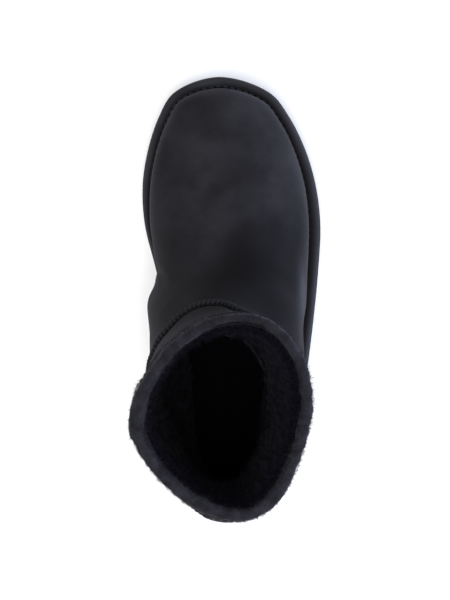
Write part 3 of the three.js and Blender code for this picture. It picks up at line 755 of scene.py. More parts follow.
@dataclass
class SoleForm:
    """Plan and heights of the sole, in millimetres from the heel's end."""

    length: float = 268.0
    ball_width: float = 108.0
    heel_stack: float = 27.0
    ball_stack: float = 20.0
    toe_stack: float = 18.0
    toe_spring: float = 9.0
    heel_spring: float = 1.5
    arch_rise: float = 2.2
    rim_margin: float = 8.0
    samples: int = 240
    solid_bearings: int = 60

    def underside(self, y: Array) -> Array:
        """Height of the sole's underside above the floor."""
        s = np.clip(y / self.length, 0, 1)
        return (
            self.heel_spring * eased_column(LIFT, "heel", s)
            + self.arch_rise * eased_column(LIFT, "arch", s)
            + self.toe_spring * eased_column(LIFT, "toe", s)
        )

    def top(self, y: Array) -> Array:
        """Height of the midsole's top above the floor."""
        s = np.clip(y / self.length, 0, 1)
        return (
            self.heel_stack * eased_column(STACK, "heel", s)
            + self.ball_stack * eased_column(STACK, "ball", s)
            + self.toe_stack * eased_column(STACK, "toe", s)
            + self.toe_spring * eased_column(LIFT, "toe", s)
        )

    @cached_property
    def outline(self) -> Array:
        """Closed outline through the knots of the table.

        Returns:
            Rows of x, y and the upper's distance inside the outline.
        """
        at, inner, outer = (np.array(OUTLINE[k]) for k in ("at", "inner", "outer"))
        outer_knots = np.stack([outer, at, np.array(OUTLINE["outer_rim"])], -1)
        inner_knots = np.stack([-inner, at, np.array(OUTLINE["inner_rim"])], -1)[::-1]
        knots = np.concatenate(
            [[[HEEL_END[0], 0, HEEL_END[1]]], outer_knots, [[TOE_END[0], 1, TOE_END[1]]], inner_knots]
        ) * np.array([self.ball_width, self.length, self.rim_margin])
        count = len(knots)
        place = np.arange(self.samples) * count / self.samples
        i = place.astype(int)
        t = (place - i)[:, None]
        p0, p1, p2, p3 = (knots[(i + k) % count] for k in (-1, 0, 1, 2))
        pairs = ((p0, p1), (p1, p2), (p2, p3))
        d0, d1, d2 = (np.linalg.norm(b - a, axis=1)[:, None] ** 0.5 for a, b in pairs)
        m1 = ((p1 - p0) / d0 - (p2 - p0) / (d0 + d1) + (p2 - p1) / d1) * d1
        m2 = ((p2 - p1) / d1 - (p3 - p1) / (d1 + d2) + (p3 - p2) / d2) * d1
        return (
            p1
            + m1 * t
            + (-3 * p1 + 3 * p2 - 2 * m1 - m2) * t**2
            + (2 * p1 - 2 * p2 + m1 + m2) * t**3
        )

    def inset(self, distance: Array | float) -> Array:
        """Outline moved inward.

        Args:
            distance: How far, for all its points or for each.

        Returns:
            Rows of x and y.
        """
        line = self.outline[:, :2]
        tangent = unit(np.roll(line, -1, 0) - np.roll(line, 1, 0))
        inward = np.stack([-tangent[:, 1], tangent[:, 0]], -1)
        return line + inward * np.broadcast_to(distance, (len(line),))[:, None]

    @cached_property
    def feather(self) -> Array:
        """Line where the upper meets the sole."""
        return self.inset(self.outline[:, 2])

    @cached_property
    def centre(self) -> Array:
        """Middle that every bearing starts from."""
        return np.array([0.0, (self.feather[:, 1].min() + self.feather[:, 1].max()) / 2])

    def on_bearings(self, line: Array, u: Array) -> Array:
        """Where bearings from the middle meet a closed line.

        Args:
            line: Closed line of x and y.
            u: Shares of the way round, from the toe by the outer side.

        Returns:
            One x and y for each bearing.
        """
        aspect = self.length / self.ball_width
        d = unit(np.stack([np.sin(TAU * u), aspect * np.cos(TAU * u)], -1))[:, None, :]
        a = line[None] - self.centre
        e = (np.roll(line, -1, 0) - line)[None]
        det = e[..., 0] * d[..., 1] - e[..., 1] * d[..., 0]
        det = np.where(np.abs(det) < TINY, TINY, det)
        t = (a[..., 1] * d[..., 0] - a[..., 0] * d[..., 1]) / det
        r = (e[..., 0] * a[..., 1] - e[..., 1] * a[..., 0]) / det
        best = np.where((t >= -TINY) & (t <= 1 + TINY), r, 0).max(1)
        return self.centre + d[:, 0] * best[:, None]

    def loop(self, u: Array, distance: float, height: Callable[[Array], Array]) -> Array:
        """Loop round the sole.

        Args:
            u: Bearings.
            distance: How far inside the outline.
            height: Function of the place along the boot that gives the loop's height.

        Returns:
            Points of the loop.
        """
        line = self.on_bearings(self.inset(distance), u)
        return np.concatenate([line, height(line[:, 1])[:, None]], 1)

    def extent(self, line: Array, y: Array) -> tuple[Array, Array]:
        """Reach of a closed line from side to side.

        Args:
            line: Closed line of x and y.
            y: Distances from the heel's end.

        Returns:
            Lowest and highest x at each.
        """
        a, b = line, np.roll(line, -1, 0)
        y = np.asarray(y, float)[:, None]
        crossed = (y - a[:, 1]) * (y - b[:, 1]) <= 0
        run = np.where(a[:, 1] == b[:, 1], 1.0, b[:, 1] - a[:, 1])
        x = mix(a[:, 0], b[:, 0], (y - a[:, 1]) / run)
        return np.where(crossed, x, np.inf).min(1), np.where(crossed, x, -np.inf).max(1)

    @cached_property
    def shift(self) -> Array:
        """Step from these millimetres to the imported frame's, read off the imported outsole.

        Returns:
            The step as x, y and z.
        """
        u = np.arange(self.solid_bearings) / self.solid_bearings
        low = self.on_bearings(self.inset(0.0), u).min(0)
        corner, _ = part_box("outsole")
        return np.array([corner.x / MM - low[0], corner.y / MM - low[1], 0.0])


@dataclass(frozen=True)
class Fold:
    """A soft trough set in one side of the upper, or a ridge where its depth is below zero."""

    side: Side
    path: tuple[tuple[float, float], ...]  # from the heel's end, and above the midsole
    depth: float
    width: float


@dataclass
class UpperForm:
    """Outer face of the upper: foot and shaft with a soft bend between them, folds and all.

    A place on it is a share of the way round, from the toe by the outer side, and one of the way up.
    """

    sole: SoleForm
    wall: float = 3.0
    clearance: float = 0.3
    toe_box_height: float = 35.0
    instep_height: float = 92.0
    nose_length: float = 40.0
    nose_fullness: float = 2.6
    nose_steepness: float = 2.4
    shaft_height: float = 131.0
    collar_length: float = 104.0
    collar_width: float = 92.0
    heel_lean: float = 16.5
    bend_radius: float = 15.0
    bend_level: float = 0.4
    least_bend: float = 0.01
    rim_height: float = 6.0
    shoulder_level: float = 0.3
    foot_swell: float = 0.045
    bulge_level: float = 0.4
    squareness: float = 2.3
    seam_tuck: float = 1.5  # how far the vamp seam's feet run down behind the rim
    seam_groove: float = 1.3
    groove_offset: float = 2.6
    groove_width: float = 2.1
    groove_taper: float = 0.04
    fold_taper: float = 0.3
    trough_reach: float = 2.6
    trough_lips: float = 0.6
    trough_fall: float = 1.2
    waves: Layers = ((0.42, 31, 5), (0.24, 13, 6))
    waves_from_foot: Ramp = Ramp(9, 22)
    waves_from_collar: Ramp = Ramp(0, 18)
    columns: int = 720
    rows: int = 241
    normal_step: int = 3
    side_span: tuple[float, float] = (0.02, 0.48)  # shares of the way round that a side takes

    def __post_init__(self) -> None:
        """Works out the grid of points and normals that every piece is laid on."""
        feather = self.sole.feather
        self.heel, self.toe = feather[:, 1].min(), feather[:, 1].max()
        self.ys = np.linspace(self.heel + 1e-6, self.toe - 1e-6, 3001)
        self.low, self.high = self.sole.extent(feather, self.ys)
        s = self.ys / self.sole.length
        toe_box = self.toe_box_height * column(RIDGE, "toe_box", s)
        instep = self.instep_height * column(RIDGE, "instep", s)
        nose = np.clip((self.ys - (self.toe - self.nose_length)) / self.nose_length, 0, 1)
        rounded = np.maximum(0, 1 - nose**self.nose_fullness) ** (1 / self.nose_steepness)
        self.ridge = np.maximum((toe_box + instep) * rounded, 0.01)
        self.bulge = self.sole.ball_width * column(RIDGE, "bulge", s)
        self.ts = np.linspace(0, 1, 2001)
        self.shaft = {name: column(SHAFT, name, self.ts) for name in SHAFT if name != "at"}
        u = np.arange(self.columns) / self.columns
        v = np.linspace(0, 1, self.rows)
        self.points = self.solve(*np.meshgrid(u, v, indexing="ij"))
        self.normals = self.normals_of(self.points)

    def foot_field(self, x: Array, y: Array, up: Array) -> Array:
        """Signed measure of the foot's form, below 0 inside.

        Args:
            x: Places across the boot.
            y: Distances from the heel's end.
            up: Heights above the midsole.

        Returns:
            One measure for each.
        """
        low, high = np.interp(y, self.ys, self.low), np.interp(y, self.ys, self.high)
        ridge = np.interp(y, self.ys, self.ridge)
        level = up / ridge
        rise = np.clip(level / self.shoulder_level, 0, 1)
        middle = (low + high) / 2
        above = smooth((up - self.rim_height) / (self.bulge_level * ridge))
        bulge = np.where(x < middle, np.interp(y, self.ys, self.bulge) * above, 0)
        half = (high - low) / 2 * (1 + self.foot_swell * rise * (2 - rise)) + bulge
        crown = np.maximum(0, (level - self.shoulder_level) / (1 - self.shoulder_level))
        q = self.squareness
        size = (np.abs((x - middle) / np.maximum(half, 1e-6)) ** q + crown**q) ** (1 / q)
        past_the_ends = (y <= self.heel) | (y >= self.toe)
        return np.where(past_the_ends, self.sole.length, (size - 1) * self.sole.ball_width / 2)

    def shaft_field(self, x: Array, y: Array, up: Array) -> Array:
        """Signed measure of the heel and shaft, below 0 inside.

        Args:
            x: Places across the boot.
            y: Distances from the heel's end.
            up: Heights above the midsole.

        Returns:
            One measure for each.
        """
        t = np.clip(up / self.shaft_height, 0, 1)
        at = {name: np.interp(t, self.ts, values) for name, values in self.shaft.items()}
        back = self.heel + self.heel_lean * at["lean"]
        length = self.collar_length * at["length"]
        width = self.collar_width * at["width"]
        widest = back + length * (at["widest"] + at["skew"] * x / (self.collar_width / 2))
        forward = y > widest
        v = (y - widest) / np.where(forward, back + length - widest, widest - back)
        swing = np.where(forward, at["front_swing"], at["back_swing"]) * np.minimum(1, v * v)
        middle = self.collar_width * (at["middle"] + swing)
        full = np.where(forward, at["front"], at["back"])
        size = (((x - middle) / (width / 2)) ** 2 + np.abs(v) ** full) ** (2 / (2 + full))
        return (size - 1) * width / 2

    def field(self, x: Array, y: Array, up: Array) -> Array:
        """Signed measure of the whole form, with the bend between foot and shaft.

        Args:
            x: Places across the boot.
            y: Distances from the heel's end.
            up: Heights above the midsole.

        Returns:
            One measure for each.
        """
        foot, shaft = self.foot_field(x, y, up), self.shaft_field(x, y, up)
        blend = self.bend_radius * smooth(up / (self.bend_level * self.shaft_height)) + self.least_bend
        overlap = np.maximum(0, blend - np.abs(foot - shaft)) / blend
        return np.minimum(foot, shaft) - overlap**2 * blend / 4

    def solve(self, u: Array, v: Array) -> Array:
        """Points of the unfolded outer face.

        Args:
            u: Shares of the way round, from the toe by the outer side.
            v: Shares of the way from the sole to the collar.

        Returns:
            Points in millimetres.
        """
        front = self.sole.length * column(PLANES, "front_along", v)
        front_up = self.shaft_height * column(PLANES, "front_up", v)
        back_up = self.shaft_height * column(PLANES, "back_up", v)
        lean = np.interp(np.clip(back_up / self.shaft_height, 0, 1), self.ts, self.shaft["lean"])
        back = self.heel + self.heel_lean * lean
        middle, middle_up = (back + front) / 2, (back_up + front_up) / 2
        slope = (front_up - back_up) / (front - back)
        aspect = mix(self.sole.length / self.sole.ball_width, self.collar_length / self.collar_width, v)
        d = unit(np.stack([np.sin(TAU * u), aspect * np.cos(TAU * u)], -1))
        inside, outside = np.zeros_like(v), np.full_like(v, self.sole.length)
        for _ in range(FINE_HALVINGS):
            r = (inside + outside) / 2
            x, y = self.sole.centre[0] + d[..., 0] * r, middle + d[..., 1] * r
            hit = self.field(x, y, np.maximum(0, middle_up + slope * (y - middle))) < 0
            inside, outside = np.where(hit, r, inside), np.where(hit, outside, r)
        x, y = self.sole.centre[0] + d[..., 0] * inside, middle + d[..., 1] * inside
        up = np.maximum(0, middle_up + slope * (y - middle))
        return np.stack([x, y, up + self.sole.top(y) + self.clearance], -1)

    def normals_of(self, points: Array) -> Array:
        """Outward normals of the grid of points.

        Args:
            points: Grid of points, column by column.

        Returns:
            One normal for each.
        """
        step = self.normal_step
        along = np.roll(points, -step, 0) - np.roll(points, step, 0)
        rows = np.arange(self.rows)
        upward = points[:, np.minimum(rows + step, self.rows - 1)] - points[:, np.maximum(rows - step, 0)]
        normals = np.cross(upward, along)
        normals[:, 0, 2] = 0
        return unit(normals)

    def vamp_line(self) -> tuple[Array, Array]:
        """Vamp seam's path over the instep, from the inner side's foot to the outer side's.

        Returns:
            Shares round and up.
        """
        at = np.linspace(0, 1, 60)
        y = self.sole.length * column(SEAM, "along", at)
        up = {side: self.shaft_height * column(SEAM, side.name.lower(), at) for side in Side}
        least = self.rim_height - self.seam_tuck
        outer_u, outer_v = self.side_place(Side.OUTER, y, np.maximum(least, up[Side.OUTER]))
        inner_u, inner_v = self.side_place(Side.INNER, y, np.maximum(least, up[Side.INNER]))
        left, right = inner_u[0] - 1, outer_u[0]
        front = np.linspace(left, right, 90)[1:-1]
        rise = column(SEAM_RISE, "rise", front / np.where(front < 0, -left, right))
        front_v = self.level(front, mix(up[Side.INNER][0], up[Side.OUTER][0], rise))
        u = np.concatenate([inner_u[::-1] - 1, front, outer_u])
        v = np.concatenate([inner_v[::-1], front_v, outer_v])
        for _ in range(3):
            u[1:-1] = (u[:-2] + 2 * u[1:-1] + u[2:]) / 4
            v[1:-1] = (v[:-2] + 2 * v[1:-1] + v[2:]) / 4
        return u, v

    def fold_line(self, item: Fold) -> Array:
        """Path of a fold on the face, smoothed through its points.

        Args:
            item: The fold.

        Returns:
            Points of the path.
        """
        controls = np.array(item.path)
        steps = np.linspace(0, len(controls) - 1, 30)
        y, up = (np.interp(steps, np.arange(len(controls)), controls[:, k]) for k in (0, 1))
        for _ in range(4):
            y[1:-1] = (y[:-2] + 2 * y[1:-1] + y[2:]) / 4
            up[1:-1] = (up[:-2] + 2 * up[1:-1] + up[2:]) / 4
        return self.sample(self.points, *self.side_place(item.side, y, up))

    def trough(self, path: Array, depth: float, width: float, taper: float) -> Array:
        """How far a trough along a path lowers each point of the grid.

        Args:
            path: Points on the face.
            depth: Depth in its middle.
            width: Half its width.
            taper: Share of its length over which it runs out at either end.

        Returns:
            The step inward at each point of the grid.
        """
        points = self.points
        reach = self.trough_reach * width
        near = np.all((points > path.min(0) - reach) & (points < path.max(0) + reach), -1)
        p = points[near]
        best = np.full(len(p), np.inf)
        share = np.zeros(len(p))
        for k in range(len(path) - 1):
            a, e = path[k], path[k + 1] - path[k]
            t = np.clip((p - a) @ e / max(float(e @ e), TINY), 0, 1)
            far = np.linalg.norm(p - a - t[:, None] * e, axis=1)
            closer = far < best
            best = np.where(closer, far, best)
            share = np.where(closer, (k + t) / (len(path) - 1), share)
        q = (best / width) ** 2
        step = np.zeros(points.shape[:-1])
        ends = smooth(np.minimum(share, 1 - share) / taper)
        step[near] = depth * ends * (1 - self.trough_lips * q) * np.exp(-self.trough_fall * q)
        return step

    def dress(self, folds: tuple[Fold, ...]) -> None:
        """Gives the face its gentle waves, its folds and the groove where the shaft dips behind the vamp.

        Args:
            folds: Folds, listed one by one.
        """
        points = self.points
        up = points[..., 2] - self.sole.top(points[..., 1])
        drop = np.linalg.norm(points - points[:, -1:], axis=-1)
        total = lumps(points, self.waves) * self.waves_from_foot.at(up) * self.waves_from_collar.at(drop)
        for item in folds:
            total -= self.trough(self.fold_line(item), item.depth, item.width, self.fold_taper)
        u, v = self.vamp_line()
        line, normals = self.at(u, v), self.normal(u, v)
        across = unit(np.cross(normals, unit(np.gradient(line, axis=0))))
        behind = line - across * self.groove_offset
        total -= self.trough(behind, self.seam_groove, self.groove_width, self.groove_taper)
        self.points = points + self.normals * total[..., None]
        self.normals = self.normals_of(self.points)

    def sample(self, grid: Array, u: Array, v: Array) -> Array:
        """Value of a grid between its columns and rows.

        Args:
            grid: Points or normals.
            u: Shares round.
            v: Shares up.

        Returns:
            One value for each place.
        """
        a = (np.asarray(u, float) % 1) * self.columns
        b = np.clip(v, 0, 1) * (self.rows - 1)
        i = np.floor(a).astype(int)
        j = np.minimum(np.floor(b).astype(int), self.rows - 2)
        s, t = (a - i)[..., None], (b - j)[..., None]
        i, i2 = i % self.columns, (i + 1) % self.columns
        return mix(mix(grid[i, j], grid[i2, j], s), mix(grid[i, j + 1], grid[i2, j + 1], s), t)

    def at(self, u: Array, v: Array, out: Array | float = 0.0) -> Array:
        """Points at a distance outward from the face.

        Args:
            u: Shares round.
            v: Shares up.
            out: The distance.

        Returns:
            One point for each place.
        """
        u, v = np.broadcast_arrays(u, v)
        out = np.asarray(out, float)[..., None]
        return self.sample(self.points, u, v) + unit(self.sample(self.normals, u, v)) * out

    def normal(self, u: Array, v: Array) -> Array:
        """Outward normals at places on the face."""
        return unit(self.sample(self.normals, *np.broadcast_arrays(u, v)))

    def level(self, u: Array, height: Array | float) -> Array:
        """Share of the way up at which the face stands a height above the midsole.

        Args:
            u: Shares round.
            height: The height.

        Returns:
            One share for each.
        """
        u, height = np.broadcast_arrays(np.asarray(u, float), height)
        low, high = np.zeros(u.shape), np.ones(u.shape)
        for _ in range(HALVINGS):
            v = (low + high) / 2
            p = self.sample(self.points, u, v)
            under = p[..., 2] - self.clearance - self.sole.top(p[..., 1]) < height
            low, high = np.where(under, v, low), np.where(under, high, v)
        return (low + high) / 2

    def below_edge(self, u: Array, drop: Array | float) -> Array:
        """Share of the way up at a distance below the collar's edge.

        Args:
            u: Shares round.
            drop: The distance.

        Returns:
            One share for each.
        """
        u, drop = np.broadcast_arrays(np.asarray(u, float), drop)
        top = self.sample(self.points, u, np.ones(u.shape))
        low, high = np.full(u.shape, 0.5), np.ones(u.shape)
        for _ in range(HALVINGS):
            v = (low + high) / 2
            under = np.linalg.norm(self.sample(self.points, u, v) - top, axis=-1) > drop
            low, high = np.where(under, v, low), np.where(under, high, v)
        return (low + high) / 2

    def side_place(self, side: Side, y: Array, height: Array) -> tuple[Array, Array]:
        """Place on one side of the boot.

        Args:
            side: Outer or inner.
            y: Distances from the heel's end.
            height: Heights above the midsole.

        Returns:
            Shares round and up.
        """
        y, height = np.broadcast_arrays(np.asarray(y, float), height)
        front, back = (np.full(y.shape, share) for share in self.side_span)
        for _ in range(COARSE_HALVINGS):
            u = (front + back) / 2
            round_ = u if side is Side.OUTER else 1 - u
            ahead = self.sample(self.points, round_, self.level(round_, height))[..., 1] > y
            front, back = np.where(ahead, u, front), np.where(ahead, back, u)
        u = front if side is Side.OUTER else 1 - front
        return u, self.level(u, height)

    def edge_bearing(self, side: Side, y: float) -> float:
        """Share of the way round at which the collar's edge passes a place along the boot.

        Args:
            side: Outer or inner.
            y: Distance from the heel's end.

        Returns:
            The share.
        """
        u = np.linspace(*self.side_span, 800)
        round_ = u if side is Side.OUTER else 1 - u
        return float(round_[np.argmin(np.abs(self.at(round_, 1.0)[:, 1] - y))])


# Making pieces


@dataclass
class Workshop:
    """Turns meshes in the boot's own millimetres into pieces of the scene."""

    sole: SoleForm

    def piece(
        self, name: str, parts: MeshParts, look: Finish, slot: Slot, *stands_for: str, crisp: float = 0.0
    ) -> bpy.types.Object:
        """Makes one piece of the boot.

        Args:
            name: Name of the piece.
            parts: Its mesh.
            look: Its finish.
            slot: Slot that the finish belongs to; not used.
            stands_for: CAD nodes that it replaces.
            crisp: Angle in degrees over which an edge stays sharp, or 0 for none.

        Returns:
            The piece.
        """
        parts.turn_out()
        points = (np.concatenate(parts.points) + self.sole.shift) * MM
        mesh = bpy.data.meshes.new(name)
        sizes = np.concatenate([np.full(len(part), part.shape[1]) for part in parts.faces])
        corners = np.concatenate([part.reshape(-1) for part in parts.faces])
        mesh.vertices.add(len(points))
        mesh.vertices.foreach_set("co", points.astype(np.float32).reshape(-1))
        mesh.loops.add(len(corners))
        mesh.loops.foreach_set("vertex_index", corners.astype(np.int32))
        mesh.polygons.add(len(sizes))
        starts = np.concatenate([[0], np.cumsum(sizes)[:-1]])
        mesh.polygons.foreach_set("loop_start", starts.astype(np.int32))
        mesh.polygons.foreach_set("loop_total", sizes.astype(np.int32))
        mesh.polygons.foreach_set("use_smooth", np.ones(len(sizes), bool))
        mesh.update(calc_edges=True)
        mesh.validate()
        shade = mesh.attributes.new("shade", "FLOAT", "POINT")
        shade.data.foreach_set("value", np.concatenate(parts.shades).astype(np.float32))
        if crisp:
            mesh.set_sharp_from_angle(angle=math.radians(crisp))
        thing = bpy.data.objects.new(name, mesh)
        bpy.context.scene.collection.objects.link(thing)
        thing.data.materials.append(finish(look))
        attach(thing, "root")
        if stands_for:
            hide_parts(*stands_for)
        log.info("%s: %d faces", name, len(mesh.polygons))
        return thing


def sweep(parts: MeshParts, stations: Array, shade: Array | float = 0.0) -> None:
    """Adds a bar swept along stations, each a closed section, with both ends closed.

    Args:
        parts: Mesh that takes it.
        stations: Sections, station by station.
        shade: Shade of its points.
    """
    count = stations.shape[1]
    end = (stations.shape[0] - 1) * count + np.arange(count)
    parts.add(
        stations,
        lattice(stations.shape[0], count, False, True),
        fan(np.arange(count))[:, ::-1],
        fan(end),
        shade=shade,
    )


# A stitch along its length: how thick the thread is and how high it lies, as shares of its radius.
STITCH: Table = {
    "at": (-1, -0.82, -0.4, 0, 0.4, 0.82, 1),
    "thick": (0.35, 0.85, 1, 1, 1, 0.85, 0.35),
    "lift": (-0.9, -0.1, 0.45, 0.6, 0.45, -0.1, -0.9),
}
THREAD_SIDES = 6
TURN_RINGS = 9
TURN_SWING = math.radians(100)
FIBRE_SIDES = 3
FIBRE_CURL = 0.35
FIBRE: Table = {"at": (0.0, 0.4, 0.75, 1.0), "thick": (1.0, 0.85, 0.6, 0.25)}


def stitch_forms(
    centres: Array, tangents: Array, normals: Array, length: float, radius: float
) -> tuple[Array, Array, Array]:
    """Short lengths of thread lying on a surface, sunk at both ends.

    Args:
        centres: Middle of each stitch on the surface.
        tangents: Direction of each.
        normals: The surface's outward normals.
        length: Length of a stitch in millimetres.
        radius: Radius of the thread.

    Returns:
        Points of every stitch, and the side and end faces of one.
    """
    across = unit(np.cross(normals, tangents))
    along = np.array(STITCH["at"]) * length / 2
    thick = np.array(STITCH["thick"]) * radius
    lift = np.array(STITCH["lift"]) * radius
    rings = len(along)
    angle = np.arange(THREAD_SIDES) * TAU / THREAD_SIDES
    ring_across = thick[:, None] * np.cos(angle)
    ring_up = thick[:, None] * np.sin(angle) + lift[:, None]
    points = (
        centres[:, None, None]
        + tangents[:, None, None] * along[:, None, None]
        + across[:, None, None] * ring_across[..., None]
        + normals[:, None, None] * ring_up[..., None]
    ).reshape(len(centres), -1, 3)
    first = np.arange(THREAD_SIDES)
    ends = np.concatenate([fan(first)[:, ::-1], fan((rings - 1) * THREAD_SIDES + first)])
    return points, lattice(rings, THREAD_SIDES, False, True), ends


def overcast_forms(
    centres: Array,
    tangents: Array,
    normals: Array,
    width: float,
    height: float,
    radius: float,
    slant: float,
) -> tuple[Array, Array, Array]:
    """Turns of thread over a raised seam, from one foot to the other.

    Args:
        centres: Seam's middle on the surface at each turn.
        tangents: Seam's direction.
        normals: The surface's outward normals.
        width: Width of the seam.
        height: Height of the seam.
        radius: Radius of the thread.
        slant: How far a turn runs on along the seam.

    Returns:
        Points of every turn, and the side and end faces of one.
    """
    across = unit(np.cross(normals, tangents))
    swing = np.linspace(-1, 1, TURN_RINGS) * TURN_SWING
    side = np.sin(swing) * (width / 2 + radius * 0.4)
    rise = np.cos(swing) * (height + radius * 0.3)
    out = np.stack([np.sin(swing), np.cos(swing)], -1)
    angle = np.arange(THREAD_SIDES) * TAU / THREAD_SIDES
    ring_out = radius * np.cos(angle)
    ring_on = radius * np.sin(angle)
    side_all = side[:, None] + out[:, :1] * ring_out
    rise_all = rise[:, None] + out[:, 1:] * ring_out
    on_all = (np.linspace(-0.5, 0.5, TURN_RINGS) * slant)[:, None] + ring_on
    points = (
        centres[:, None, None]
        + across[:, None, None] * side_all[..., None]
        + normals[:, None, None] * rise_all[..., None]
        + tangents[:, None, None] * on_all[..., None]
    ).reshape(len(centres), -1, 3)
    first = np.arange(THREAD_SIDES)
    ends = np.concatenate([fan(first)[:, ::-1], fan((TURN_RINGS - 1) * THREAD_SIDES + first)])
    return points, lattice(TURN_RINGS, THREAD_SIDES, False, True), ends


def fibre_forms(
    rng: np.random.Generator, base: Array, lean: Array, length: Array, radius: float
) -> tuple[Array, Array, Array]:
    """Curled tapering fibres.

    Args:
        rng: Source of their curls.
        base: Root of each fibre.
        lean: Direction that it sets out in.
        length: Its length.
        radius: Radius at its root.

    Returns:
        Points of every fibre, and the side and end faces of one.
    """
    steps = np.array(FIBRE["at"])
    curl = FIBRE_CURL * length[:, None] * rng.normal(size=base.shape)
    reach = (lean * length[:, None])[:, None]
    spine = base[:, None] + reach * steps[:, None] + curl[:, None] * steps[:, None] ** 2
    side = unit(np.cross(lean, rng.normal(size=base.shape)))
    other = np.cross(lean, side)
    thick = radius * np.array(FIBRE["thick"])[:, None]
    angle = np.arange(FIBRE_SIDES) * TAU / FIBRE_SIDES
    ring = (
        spine[:, :, None]
        + side[:, None, None] * (thick * np.cos(angle))[..., None]
        + other[:, None, None] * (thick * np.sin(angle))[..., None]
    )
    first = np.arange(FIBRE_SIDES)
    ends = np.stack([first[::-1], (len(steps) - 1) * FIBRE_SIDES + first])
    return ring.reshape(len(base), -1, 3), lattice(len(steps), FIBRE_SIDES, False, True), ends


# Sub-assemblies


